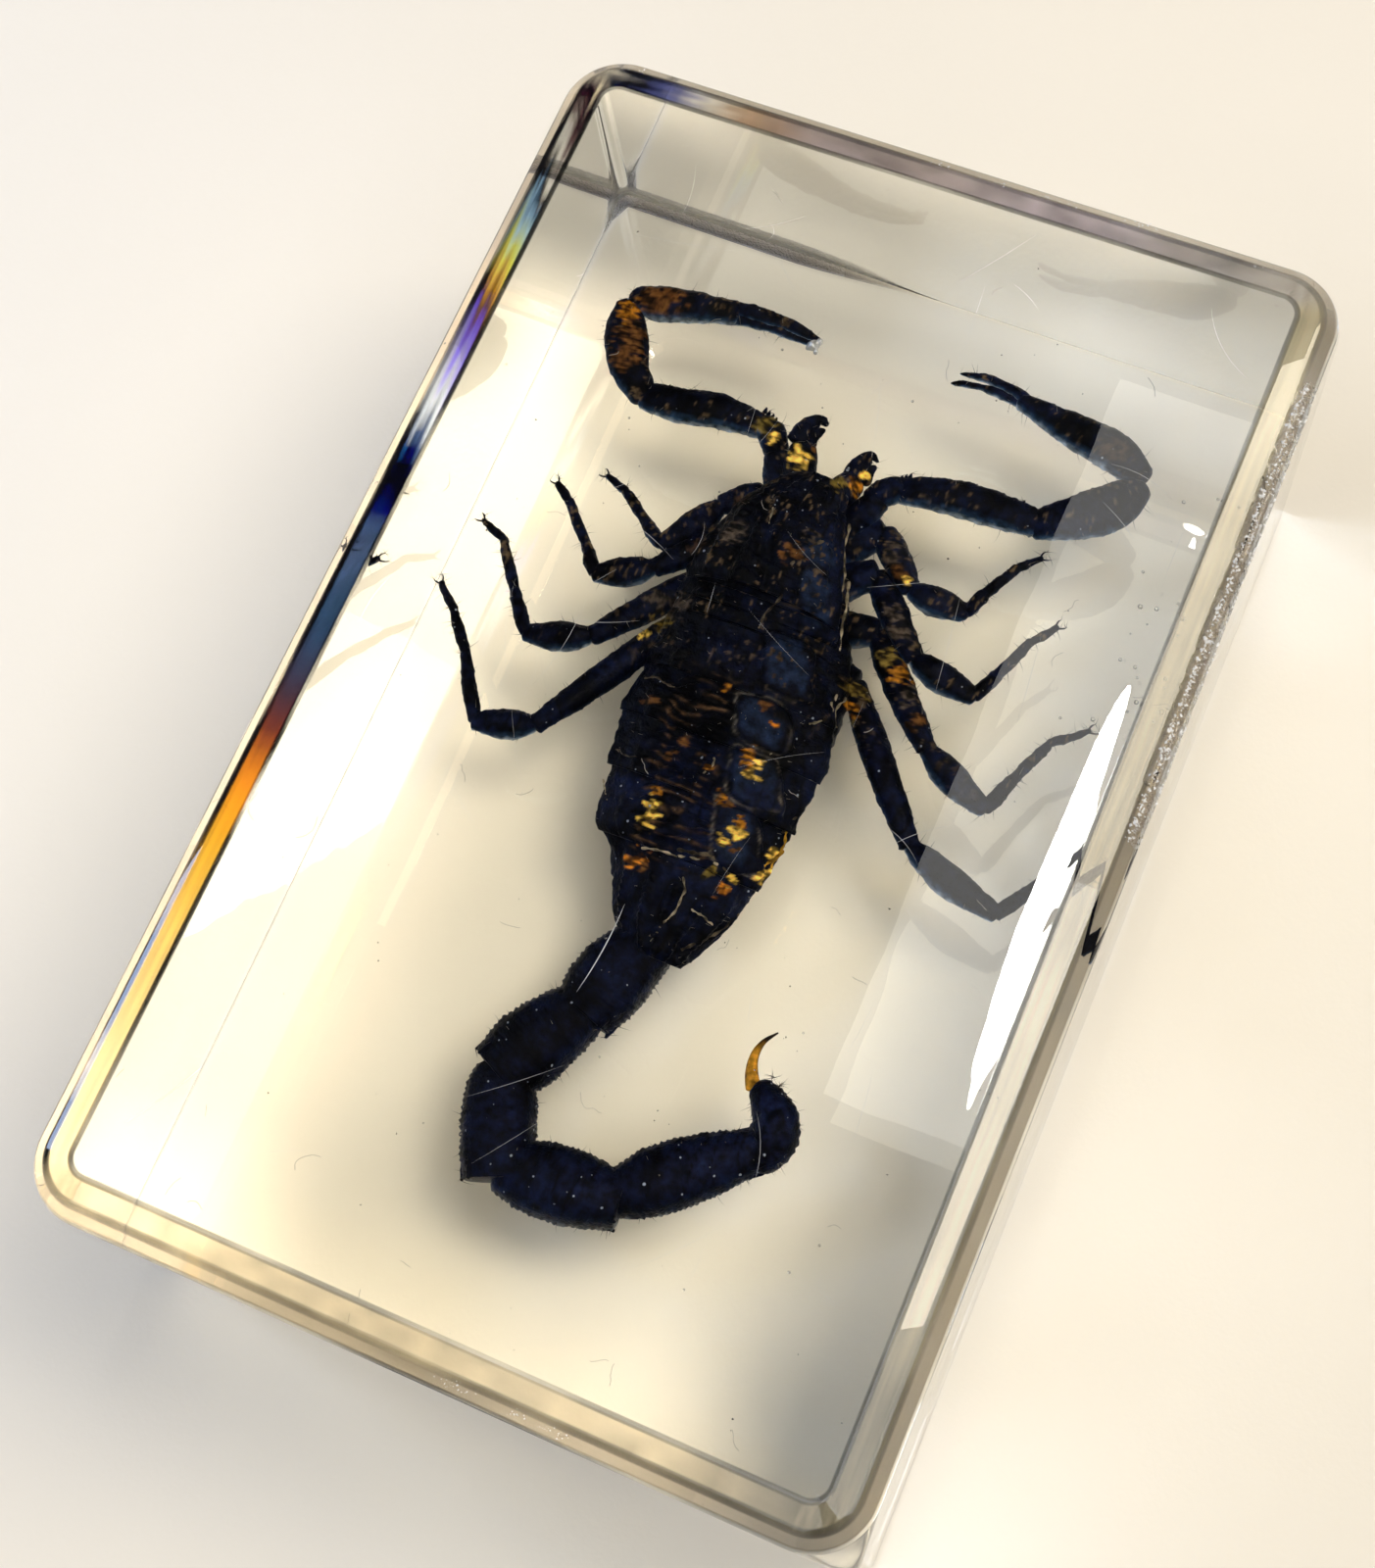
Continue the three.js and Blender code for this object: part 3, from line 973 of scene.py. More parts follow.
def plate(y_front, y_back, reach, lift_front, lift_back, thickness=0.16, seed=0, shape=None,
          below=False, bow=0.0):
    """A plate between two places on the trunk. `reach` is how far it wraps down, in degrees
    from the middle of the back, and `shape(u, v, points)` adds lift at each grid point."""
    rows = max(int(abs(y_front - y_back) / PLATE_STEP), 6)
    v, u = np.meshgrid(np.linspace(0, 1, rows), np.linspace(-1, 1, PLATE_ACROSS), indexing="ij")
    v, u = v.ravel(), u.ravel()
    y = y_front + (y_back - y_front) * v - bow * (1 - u * u)
    middle_x, half_wide, middle_z, half_high = trunk_at(y)
    angle = np.radians(reach) * u
    sign = -1 if below else 1
    outward = np.column_stack([np.sin(angle), np.zeros_like(u), np.cos(angle) * sign])
    edge = step_up(1 - np.abs(u), 0, 0.05) * step_up(v, 0, 0.06) * step_up(1 - v, 0, 0.06)
    lift = lift_front + (lift_back - lift_front) * v
    base = np.column_stack([
        middle_x + half_wide * np.sin(angle), y, middle_z + sign * half_high * np.cos(angle)])
    rough = (0.08 * hills(base, 0.9, seed + 30) + 0.06 * hills(base, 0.4, seed + 31)
             + 0.06 * np.maximum(hills(base, 0.19, seed + 32), 0))
    extra = shape(u, v, base) if shape else 0
    outer = base + outward * (lift + thickness * (0.35 + 0.65 * edge) + rough + extra)[:, None]
    inner = base + outward * (lift - 0.1)[:, None]
    points = np.concatenate([outer, inner])
    count = len(outer)
    grid = np.arange(count).reshape(rows, PLATE_ACROSS)
    quads = np.stack([grid[:-1, :-1], grid[:-1, 1:], grid[1:, 1:], grid[1:, :-1]], -1)
    quads = quads.reshape(-1, 4)
    rim = np.concatenate([grid[0, :-1], grid[:-1, -1], grid[-1, :0:-1], grid[:0:-1, 0]])
    sides = np.column_stack([rim, np.roll(rim, -1), np.roll(rim, -1) + count, rim + count])
    faces = [quads[:, ::-1], quads + count, sides]
    if below:
        faces = [face[:, ::-1] for face in faces]
    normals = np.concatenate([outward, -outward])
    colours = cuticle_colours(points, normals, 0.0)
    if not below:
        colours = back_colours(points, colours)
    return points, np.concatenate(faces).tolist(), colours, normals


print("a plate is", PLATE_ACROSS, "points across, with a row every", PLATE_STEP, "mm")

# %% [markdown]
# The head shield carries a furrow down its middle and a low mound with the two main eyes.
# Two keels run along each side of the furrow, and the middle of the front edge juts forward.

# %% The head shield
EYES_Y = 14.6


def shield_relief(u, v, base):
    furrow = -0.22 * np.exp(-(u / 0.07) ** 2)
    keels = 0.2 * (np.exp(-((np.abs(u) - 0.3) / 0.05) ** 2)
                   + np.exp(-((np.abs(u) - 0.62) / 0.06) ** 2))
    keels = keels * (0.7 + 0.3 * np.sin(base[:, 1] * 14))
    mound = 0.55 * np.exp(-(u / 0.16) ** 2 - ((base[:, 1] - EYES_Y) / 0.9) ** 2)
    dents = -0.22 * np.exp(-((np.abs(u) - 0.45) / 0.15) ** 2) * step_up(v, 0.5, 0.9)
    folds = 0.22 * hills(base * (2.2, 0.45, 1), 1.0, 46) * step_up(-u, -0.15, 0.1)
    return (furrow + keels) * step_up(v, 0, 0.15) + mound + dents + folds


chitin_piece("carapace", [plate(18.7, 10.7, 66, 0.05, 0.3, 0.2, seed=2, shape=shield_relief,
                                bow=-0.5)])
eye_x, _, eye_z, eye_high = trunk_at([EYES_Y])[:, 0]
eyes = []
for side in (-1, 1):
    at = np.array([eye_x + side * 0.33, EYES_Y, eye_z + eye_high + 0.62])
    eyes.append(shell([at - (0, 0.24, 0), at + (0, 0.24, 0)], [0.24] * 3, [0.22] * 3,
                      blunt=(0.24, 0.239), wrinkle=0, grain=0))
chitin_piece("median_eyes", eyes)

# %% [markdown]
# Of the seven back plates the first two are short and the last is the longest. The last one
# narrows to the tail and has five strong keels of grains.

# %% The back plates
TERGITE_EDGES = [10.9, 10.1, 9.2, 5.7, 2.5, -0.7, -4.4, -9.9]


def tergite_relief(number):
    last = number == len(TERGITE_EDGES) - 1

    def relief(u, v, base):
        if last:
            ridges = sum(np.exp(-((u - k) / 0.05) ** 2) for k in (-0.66, -0.28, 0.02, 0.36, 0.7))
            teeth = 0.7 + 0.3 * np.sin(base[:, 1] * 17 + u * 3)
            return 0.24 * ridges * teeth * step_up(v, 0.15, 0.4) + 0.12 * hills(base, 1.3, 47)
        raised = 0.3 * step_up(1.06 - tile_reach(base), 0, 0.14)
        crossed = 0.22 * (wrinkles(base) - 0.4) * crumpled(base)
        left_ridge = 0.16 * np.exp(-((u + 0.55) / 0.05) ** 2) * step_up(v, 0.2, 0.7)
        return raised + crossed + left_ridge + 0.1 * hills(base, 1.2, 48)
    return relief


for number in range(1, len(TERGITE_EDGES)):
    front, back = TERGITE_EDGES[number - 1], TERGITE_EDGES[number]
    chitin_piece(f"tergite_{number}", [
        plate(front, back - 0.25, 74, 0.0, 0.22, 0.15, seed=10 * number,
              shape=tergite_relief(number), bow=0.12)])

# %% [markdown]
# Where the soft skin tore or folded it stands up in thin pale or golden strings. They are
# the brightest lines on the animal. Each is a thin crinkled tube laid on the back.

# %% Folded skin
PALE, GOLDEN, DULL = shades("#a89a80", "#c9952f", "#5e5344")
FOLDS = [
    # colour, thickness, points (x, y) on the back
    (PALE, 0.07, [(-2.7, -5.0), (-1.6, -4.75), (-0.6, -4.65), (0.6, -4.4), (1.7, -4.2)]),
    (DULL, 0.09, [(-0.7, -4.35), (0.4, -4.1), (1.5, -4.0), (2.4, -4.5)]),
    (PALE, 0.06, [(0.2, -5.6), (0.5, -6.4), (0.5, -7.4), (0.1, -8.4), (-0.1, -9.5)]),
    (PALE, 0.05, [(1.2, -7.1), (1.9, -7.15), (2.6, -7.4)]),
    (DULL, 0.07, [(3.6, -6.2), (2.9, -7.6), (2.3, -8.4), (1.6, -9.3)]),
    (PALE, 0.07, [(0.6, 17.2), (0.9, 15.6), (1.5, 14.2), (1.8, 12.9), (2.1, 11.4)]),
    (PALE, 0.08, [(1.9, 13.9), (2.3, 12.4), (2.6, 11.0), (2.9, 9.8), (3.4, 8.2), (3.8, 7.0)]),
    (DULL, 0.09, [(-1.3, 13.2), (-0.9, 14.4), (-0.2, 15.3), (0.5, 15.7)]),
    (DULL, 0.07, [(-1.4, 12.6), (-1.1, 11.4), (-1.5, 10.0), (-1.6, 9.0)]),
    (PALE, 0.06, [(3.7, 6.9), (3.9, 6.2), (3.5, 5.4), (3.1, 5.0)]),
    (PALE, 0.06, [(4.3, 7.4), (4.1, 6.4), (4.5, 5.6)]),
    (GOLDEN, 0.07, [(4.2, -0.8), (4.35, -1.7), (4.3, -2.4), (3.9, -3.2), (3.5, -3.9)]),
    (GOLDEN, 0.06, [(4.5, -1.9), (4.2, -2.9), (4.05, -3.7), (3.7, -4.4)]),
    (DULL, 0.06, [(4.6, 0.4), (4.3, -0.2), (4.1, -1.2)]),
    (PALE, 0.05, [(-6.5, -1.9), (-6.1, -2.4), (-5.6, -3.0)]),
    (DULL, 0.05, [(-6.6, 4.3), (-5.9, 4.5), (-5.3, 4.3), (-4.6, 4.2)]),
    (DULL, 0.05, [(-6.7, 0.0), (-5.6, -0.3), (-4.9, -0.2)]),
    (PALE, 0.05, [(-3.9, 17.0), (-3.6, 15.9), (-3.4, 14.8)]),
    (PALE, 0.045, [(0.9, 4.4), (0.5, 3.6), (0.2, 2.9)]),
    (PALE, 0.045, [(1.8, 3.9), (2.0, 3.1), (1.9, 2.5)]),
    (PALE, 0.045, [(-0.9, 1.2), (-0.8, 0.6), (-1.2, 0.1)]),
]
folds = []
for number, (colour, thick, line) in enumerate(FOLDS):
    count = 4 * len(line)
    steps = np.linspace(0, 1, count)
    line = through(np.linspace(0, 1, len(line)), line, steps)
    line = line + 0.07 * np.column_stack([hills(np.column_stack([steps * 9, steps, steps]), 1.0,
                                                80 + number + axis) for axis in (0, 100)])
    path = [on_back(x, y, 0.36) for x, y in line]
    swell = 1 + 0.5 * np.sin(np.arange(count) * 2.1)
    points, faces, _, outward = shell(path, thick * swell, thick * swell * 0.8,
                                      blunt=(0.08, 0.08), wrinkle=0.02, grain=0.01, seed=number)
    shade = 0.25 + 0.75 * step_up(hills(points, 0.35, 50), -0.5, 0.4)
    folds.append((points, faces, colour * shade[:, None], outward))
chitin_piece("folded_skin", folds, armour)
skins.pop("folded_skin")

# %% [markdown]
# Underneath are five plainer belly plates, and a small breastplate between the legs. They are
# made with the same two tools, the plates with `below` set.

# %% The belly plates
STERNITE_EDGES = [9.2, 6.3, 3.2, 0.0, -4.2, -9.3]
for number in range(1, len(STERNITE_EDGES)):
    front, back = STERNITE_EDGES[number - 1], STERNITE_EDGES[number]
    chitin_piece(f"sternite_{number}", [
        plate(front, back - 0.2, 66, 0.0, 0.14, 0.14, seed=100 + number, below=True)])
chitin_piece("sternum", [shell([(-1.6, 12.9, 7.4), (-1.55, 11.8, 7.3), (-1.5, 10.6, 7.4)],
                               [0.7, 1.0, 0.8], [0.25, 0.3, 0.25], seed=140)])

# %% [markdown]
# Behind the breastplate hang the two combs that a scorpion feels the ground with: a curved
# spine with a row of flat teeth. They only show from below.

# %% The combs
COMB_TEETH = 15
for side, name in ((-1, "left"), (1, "right")):
    spine = np.array([(-1.5 + side * 0.5, 9.7, 6.9), (-1.5 + side * 2.4, 8.7, 6.7),
                      (-1.5 + side * 4.2, 6.9, 6.8)])
    parts = [shell(spine, [0.3, 0.32, 0.15], [0.16, 0.18, 0.1], seed=150, grain=0.01)]
    for t in np.linspace(0.08, 0.96, COMB_TEETH):
        root = through([0, 0.5, 1], spine, [t])[0]
        tip = root + np.array([side * 0.15, -0.75, -0.05])
        parts.append(shell([root, tip], [0.1, 0.11, 0.08], [0.07, 0.07, 0.05],
                           blunt=(0.1, 0.1), wrinkle=0, grain=0, seed=151))
    chitin_piece(f"pectine_{name}", parts, limb_armour)

# %% [markdown]
# ## The jaws
#
# Two stubby jaws stick out in front of the shield. Each is a fat barrel that ends in a pair
# of hooked fingers. They are thin at the root, so light comes through gold there.

# %% The chelicerae
JAWS = {
    "left": ((-3.1, 18.0, 9.9), (-3.55, 19.9, 10.0), (-3.9, 21.2, 10.1), (-3.3, 22.6, 9.9)),
    "right": ((-1.4, 17.8, 9.9), (-0.55, 19.1, 10.0), (-0.05, 20.2, 10.1), (0.3, 21.5, 9.9)),
}
for name, corners in JAWS.items():
    root, barrel, neck, tip = (np.array(corner) for corner in corners)
    parts = [
        shell([root, barrel, neck], [0.7, 0.95, 0.92, 0.6], [0.7, 0.9, 0.8, 0.5],
              blunt=(0.4, 0.5), seed=160, wrinkle=0.05, grain=0.02),
        shell([neck - (0.35, 0.5, 0), neck + (-0.2, 0.6, 0), tip + (-0.1, 0.1, 0),
               tip + (0.35, -0.1, 0)],
              [0.6, 0.62, 0.42, 0.1], [0.45, 0.4, 0.25, 0.08], blunt=(0.3, 0.1), seed=161),
        shell([neck + (0.25, -0.5, 0), neck + (0.35, 0.35, -0.05), tip + (0.3, -0.35, 0)],
              [0.5, 0.5, 0.36, 0.1], [0.36, 0.3, 0.18, 0.06], blunt=(0.3, 0.1), seed=162),
    ]
    chitin_piece(f"chelicera_{name}", parts, armour)

# %% [markdown]
# ## The pincer arms
#
# Each arm is a hip and a short knobbly ring at the body, then an upper arm, a forearm, and a
# hand with one fixed and one movable finger. A row of tubercles runs along the ring, the
# upper arm and the forearm. They are small cones, and a loop sets them: each leans its own
# way and has its own height, because grown things are never exactly alike.

# %% A row of tubercles
def tubercles(path, offset, height, count, seed):
    """A row of small cones along a path, shifted sideways by `offset`."""
    draws = np.random.default_rng(seed)
    offset = np.array(offset)
    parts = []
    for t in np.linspace(0.05, 0.95, count):
        root = through(np.linspace(0, 1, len(path)), path, [t])[0] + offset
        lean = unit(offset) + draws.normal(0, 0.15, 3)
        tip = root + lean * height * draws.uniform(0.6, 1.3)
        parts.append(shell([root - lean * 0.15, tip], [0.17, 0.12, 0.03], [0.17, 0.12, 0.03],
                           blunt=(0.06, 0.04), wrinkle=0, grain=0, up=(0.1, 0.2, 1.0)))
    return parts


# %% [markdown]
# Every shell of an arm is its own piece, so the joints show as on the animal. The hand is
# slim on this scorpion, and the right one is slimmer still towards the fingers.

# %% The arms
ARMS = {
    "left": {
        "coxa": [(-3.3, 16.4, 8.9), (-4.3, 18.4, 9.2), (-5.2, 20.2, 9.4)],
        "trochanter": [(-5.0, 19.7, 9.4), (-5.8, 20.9, 9.5), (-6.9, 21.5, 9.6)],
        "femur": [(-6.4, 21.2, 9.5), (-9.4, 21.2, 9.6), (-11.4, 20.8, 9.6), (-14.1, 20.6, 9.5)],
        "patella": [(-13.5, 20.3, 9.5), (-15.2, 21.8, 9.6), (-16.3, 23.6, 9.6), (-17.3, 26.1, 9.4)],
        "hand": [(-17.3, 26.3, 9.4), (-15.6, 26.4, 9.5), (-13.6, 26.9, 9.5), (-10.6, 27.5, 9.5)],
        "fixed_finger": [(-11.8, 27.55, 9.6), (-9.2, 27.85, 9.6), (-7.2, 27.75, 9.6),
                         (-5.4, 27.45, 9.6)],
        "movable_finger": [(-11.8, 27.05, 9.4), (-9.2, 27.4, 9.4), (-7.2, 27.35, 9.4),
                           (-5.6, 27.2, 9.4)],
    },
    "right": {
        "coxa": [(-0.1, 16.2, 8.9), (0.8, 18.0, 9.2), (1.6, 19.6, 9.4)],
        "trochanter": [(0.8, 18.9, 9.4), (1.7, 19.9, 9.5), (2.7, 20.6, 9.6)],
        "femur": [(2.1, 20.2, 9.5), (5.0, 20.9, 9.6), (7.6, 21.1, 9.6), (10.6, 21.1, 9.5)],
        "patella": [(10.0, 20.8, 9.5), (11.8, 21.9, 9.6), (13.7, 23.3, 9.6), (15.2, 25.6, 9.4)],
        "hand": [(15.2, 25.7, 9.4), (13.2, 26.7, 9.5), (10.2, 27.3, 9.5), (6.6, 28.0, 9.5)],
        "fixed_finger": [(7.9, 27.95, 9.6), (6.0, 28.4, 9.6), (4.5, 28.6, 9.6), (2.9, 28.35, 9.6)],
        "movable_finger": [(7.9, 27.6, 9.4), (6.0, 27.95, 9.4), (4.4, 28.05, 9.4),
                           (2.6, 27.65, 9.4)],
    },
}
ARM_SHAPES = {
    # half widths, half heights, keel angles
    "coxa": ([0.8, 0.95, 0.7], [0.8, 0.9, 0.7], (60, 120)),
    "trochanter": ([0.6, 0.85, 0.7], [0.6, 0.8, 0.6], (40, 90, 140)),
    "femur": ([0.75, 1.0, 1.12, 1.05, 0.8], [0.6, 0.8, 0.9, 0.8, 0.6], (35, 145, 215, 325)),
    "patella": ([0.75, 1.05, 1.3, 1.2, 0.6], [0.5, 0.85, 0.95, 0.85, 0.45], (40, 140, 220, 320)),
    "hand": ([0.6, 1.1, 1.05, 0.9, 0.75], [0.45, 0.85, 0.9, 0.75, 0.6], (50, 130, 230, 310)),
    "fixed_finger": ([0.45, 0.5, 0.45, 0.36, 0.16], [0.36, 0.36, 0.3, 0.24, 0.1], ()),
    "movable_finger": ([0.45, 0.48, 0.43, 0.34, 0.15], [0.36, 0.34, 0.3, 0.24, 0.1], ()),
}
RIGHT_HAND_WIDE = [0.66, 1.2, 1.15, 0.85, 0.45]
RIGHT_STOUTNESS = {"patella": 1.1, "fixed_finger": 0.66, "movable_finger": 0.66}
TUBERCLE_PARTS = ("trochanter", "femur", "patella")
for side, arm in ARMS.items():
    for number, (part, path) in enumerate(arm.items()):
        wide, high, keels = ARM_SHAPES[part]
        if side == "right":
            wide = RIGHT_HAND_WIDE if part == "hand" else wide
            wide = [half * RIGHT_STOUTNESS.get(part, 1) for half in wide]
        parts = [shell(path, wide, high, keels, keel_height=0.07, blunt=(0.4, 0.3), near_side_sheen=0.95,
                       seed=170 + number, wrinkle=0.07)]
        if part in TUBERCLE_PARTS:
            parts += tubercles(path, (0.05, 0.68, 0.2), 0.3, 9, 180 + number)
        chitin_piece(f"pedipalp_{side}_{part}", parts, limb_armour)

# %% [markdown]
# ## The legs
#
# A leg has six shells in a row here: the hip, the thigh, the stout knee piece, the shin, and
# two short foot joints that end in a pair of claws. The joints are listed from the hip to the
# foot, and each leg is one piece, because a dried leg comes off whole. Each shell bows a
# little outwards, the knee piece most.

# %% The legs
LEGS = {
    "left_1": [(-2.6, 15.2, 8.3), (-4.9, 17.5, 9.0), (-6.9, 15.9, 9.3), (-9.2, 12.4, 9.1),
               (-10.9, 13.7, 8.6), (-12.7, 15.0, 8.2), (-14.0, 15.5, 8.0)],
    "left_2": [(-2.8, 13.2, 8.2), (-5.4, 15.0, 9.0), (-8.9, 10.9, 9.4), (-12.1, 9.4, 9.1),
               (-13.3, 10.9, 8.7), (-15.5, 13.2, 8.3), (-16.6, 14.0, 8.0)],
    "left_3": [(-3.0, 11.2, 8.1), (-6.0, 11.8, 8.9), (-10.6, 5.7, 9.6), (-14.3, 4.6, 9.2),
               (-16.0, 6.8, 8.8), (-18.1, 9.6, 8.3), (-19.7, 10.3, 8.0)],
    "left_4": [(-3.4, 9.2, 8.0), (-6.6, 8.2, 8.9), (-11.4, -0.3, 9.6), (-14.8, -1.3, 9.2),
               (-17.1, 2.3, 8.8), (-19.0, 4.6, 8.3), (-20.4, 5.8, 8.0)],
    "right_1": [(-0.4, 15.2, 8.3), (2.4, 17.8, 9.0), (5.2, 14.9, 9.4), (8.6, 14.8, 9.1),
                (9.1, 16.3, 8.7), (10.2, 18.5, 8.3), (11.2, 19.6, 8.0)],
    "right_2": [(-0.1, 13.2, 8.2), (3.0, 15.2, 9.0), (6.9, 11.1, 9.5), (10.8, 10.3, 9.1),
                (11.5, 12.0, 8.7), (12.5, 14.6, 8.3), (13.5, 16.0, 8.0)],
    "right_3": [(0.3, 11.2, 8.1), (4.4, 11.9, 9.0), (9.5, 6.4, 9.6), (13.7, 4.4, 9.2),
                (14.6, 6.9, 8.8), (15.6, 9.4, 8.3), (17.3, 10.9, 8.0)],
    "right_4": [(0.7, 9.2, 8.1), (4.3, 8.6, 9.0), (10.7, 0.9, 9.7), (16.4, -0.9, 9.2),
                (17.5, 0.9, 8.8), (18.5, 2.7, 8.3), (19.4, 4.3, 8.0)],
}
LEG_SHAPES = [
    # name, half widths, half heights
    ("coxa", [0.9, 1.1, 0.95, 0.75], [0.8, 0.9, 0.8, 0.6]),
    ("femur", [0.55, 0.78, 0.72, 0.5], [0.5, 0.75, 0.7, 0.4]),
    ("patella", [0.36, 0.72, 0.82, 0.66, 0.42], [0.35, 0.7, 0.7, 0.5, 0.3]),
    ("tibia", [0.38, 0.46, 0.42, 0.34], [0.34, 0.4, 0.36, 0.28]),
    ("basitarsus", [0.3, 0.36, 0.33, 0.27], [0.27, 0.31, 0.28, 0.23]),
    ("tarsus", [0.24, 0.28, 0.23, 0.15], [0.22, 0.26, 0.2, 0.14]),
]
LEG_KEELS = (60, 120, 240, 300)
THIGH_STOUTNESS, SHIN_STOUTNESS = 1.12, 0.92
LEG_BOW = 0.03
UP = np.array([0, 0, 1])
for leg, joints in LEGS.items():
    joints = np.array(joints)
    parts = []
    for number, (part, wide, high) in enumerate(LEG_SHAPES):
        start, end = joints[number], joints[number + 1]
        along = unit(end - start)
        bow = np.cross(end - start, UP) * LEG_BOW * (1 if part == "patella" else 0.3)
        bow = bow * (-1 if leg.startswith("left") else 1)
        stoutness = THIGH_STOUTNESS if number < 3 else SHIN_STOUTNESS
        wide = [half * stoutness for half in wide]
        parts.append(shell([start - along * 0.15, (start + end) / 2 + bow, end + along * 0.2],
                           wide, high, LEG_KEELS, keel_height=0.045, keel_spacing=0.3,
                           blunt=(0.22, 0.18), near_side_sheen=0.8 if part == "patella" else 0.4,
                           seed=200 + number, wrinkle=0.05, grain=0.03))
    foot, toe = joints[-2], joints[-1]
    ahead = unit(toe - foot)
    aside = np.cross(ahead, UP)
    for turn in (-1, 1):
        root = toe + ahead * 0.05 + aside * turn * 0.08
        middle = root + ahead * 0.3 + aside * turn * 0.18
        tip = middle + ahead * 0.22 + aside * turn * 0.02 - UP * 0.15
        parts.append(shell([root, middle, tip], [0.06, 0.05, 0.015], [0.06, 0.05, 0.015],
                           blunt=(0.05, 0.02), wrinkle=0, grain=0))
    chitin_piece(f"leg_{leg}", parts, limb_armour)

# %% [markdown]
# ## The tail
#
# Five stiff barrels with keels, hinged so they curl, then the bulb that holds the venom and
# the sting. Each barrel starts as a neck that tucks into the one before, and widens to a
# square rear end whose corners stand out as blunt teeth. Each keel is a row of grains.

# %% The tail barrels
TAIL = [
    # start, end, half widths, half heights
    ((-0.2, -8.9, 9.2), (-2.2, -14.5, 9.2), [1.5, 1.85, 2.1, 2.05, 1.65], [1.3, 1.65, 1.75, 1.5]),
    ((-1.8, -13.4, 9.2), (-5.1, -19.3, 9.3), [1.2, 1.75, 2.05, 2.1, 1.75], [1.1, 1.65, 1.75, 1.5]),
    ((-5.1, -18.3, 9.3), (-2.7, -24.4, 9.4), [1.3, 1.85, 2.0, 1.95, 1.75], [1.2, 1.6, 1.7, 1.5]),
    ((-3.2, -23.6, 9.4), (4.0, -22.9, 9.5), [1.3, 1.8, 2.0, 1.8, 1.35], [1.2, 1.6, 1.65, 1.3]),
    ((3.0, -23.1, 9.5), (9.6, -17.5, 9.6), [1.0, 1.65, 1.75, 1.5, 1.1], [1.0, 1.5, 1.5, 1.3, 1.0]),
]
TAIL_KEELS = (12, 42, 70, 110, 138, 168, 205, 235, 305, 335)
TAIL_BOWS = (0.18, 0.15, 0.1, 0.05, -0.1)
TOOTH_ANGLES = (0, 42, 138, 180)
for number, (start, end, wide, high) in enumerate(TAIL, start=1):
    start, end = np.array(start), np.array(end)
    along = unit(end - start)
    side = np.cross(along, UP)
    bow = side * TAIL_BOWS[number - 1]
    parts = [shell([start, (start + end) / 2 + bow, end], wide, high, TAIL_KEELS,
                   keel_height=0.13, keel_spacing=0.34, square=2.6, blunt=(0.5, 0.1),
                   seed=300 + number, wrinkle=0.06, grain=0.05, near_side_sheen=0.1)]
    for angle in np.radians(TOOTH_ANGLES):
        lean = side * np.cos(angle) + UP * np.sin(angle)
        root = end - along * 0.35 + lean * (wide[-1] * 1.06)
        parts.append(shell([root - along * 0.8, root, root + along * 0.4 + lean * 0.08],
                           [0.12, 0.2, 0.07], [0.12, 0.2, 0.07], blunt=(0.15, 0.05), wrinkle=0,
                           grain=0.02, up=lean))
    chitin_piece(f"tail_segment_{number}", parts)

# %% [markdown]
# The bulb is a pear with pale ribs down its outer side. The sting grows out of it: a hollow
# hook, amber at the root, where it is thin, and dark and hard at the tip.

# %% The bulb and the sting
BULB = [(8.9, -18.2, 9.6), (9.9, -17.4, 9.7), (9.8, -15.9, 9.8), (8.7, -14.8, 9.8),
        (8.0, -14.3, 9.8)]
BULB_MIDDLE = np.array([8.6, -16.3, 9.8])
RIBS = 9
bulb = shell(BULB, [0.9, 1.2, 1.3, 1.0, 0.5], [0.8, 1.2, 1.3, 1.0, 0.5], blunt=(0.6, 0.35),
             keels=(0, 25, 335), keel_height=0.08, keel_spacing=0.3, seed=320)
ribs = []
for t in np.linspace(0.22, 0.75, RIBS):
    middle = through(np.linspace(0, 1, len(BULB)), BULB, [t])[0]
    out = unit(middle - BULB_MIDDLE)
    root = middle + out * 0.95 + UP * 0.55
    points, faces, _, outward = shell([root, root + out * 0.16 - (0, 0, 0.3)], [0.05] * 3,
                                      [0.05] * 3, blunt=(0.04, 0.04), wrinkle=0, grain=0)
    ribs.append((points, faces, np.tile(shades("#9a8f86"), (len(points), 1)), outward))
chitin_piece("vesicle", [bulb] + ribs)

STING = [(8.1, -14.8, 9.8), (7.6, -13.9, 9.85), (7.4, -13.0, 9.9), (7.55, -12.2, 9.9),
         (8.1, -11.4, 9.9)]
AMBER_HORN, DARK_TIP = shades("#d9982c", "#1a100a")
points, faces, _, outward = shell(STING, [0.45, 0.36, 0.25, 0.15, 0.04],
                                  [0.45, 0.36, 0.25, 0.15, 0.04], blunt=(0.2, 0.05),
                                  wrinkle=0.01, grain=0.0, seed=330)
# darker towards the tip, and on the sides that face left and right
darkening = step_up((points[:, 1] + 14.6) / 3.1, 0.5, 0.85)[:, None]
darkening = np.maximum(darkening, 0.75 * step_up(np.abs(outward[:, 0]), 0.75, 1.0)[:, None])
horn = (AMBER_HORN * (1 - darkening) + DARK_TIP * darkening) * (0.8 + 0.35 * hills(points, 0.2, 9)[:, None])
chitin_piece("sting", [(points, faces, horn, outward)], limb_armour)

# %% [markdown]
# ## The hairs
#
# Scorpions feel with stiff hairs. Real ones are 0.01 mm thick. Here they are 0.03 mm, the
# thinnest that still shows, and three-sided. Each grows from a random point of an armour
# piece, leans out and bends a little, and tapers to almost nothing.

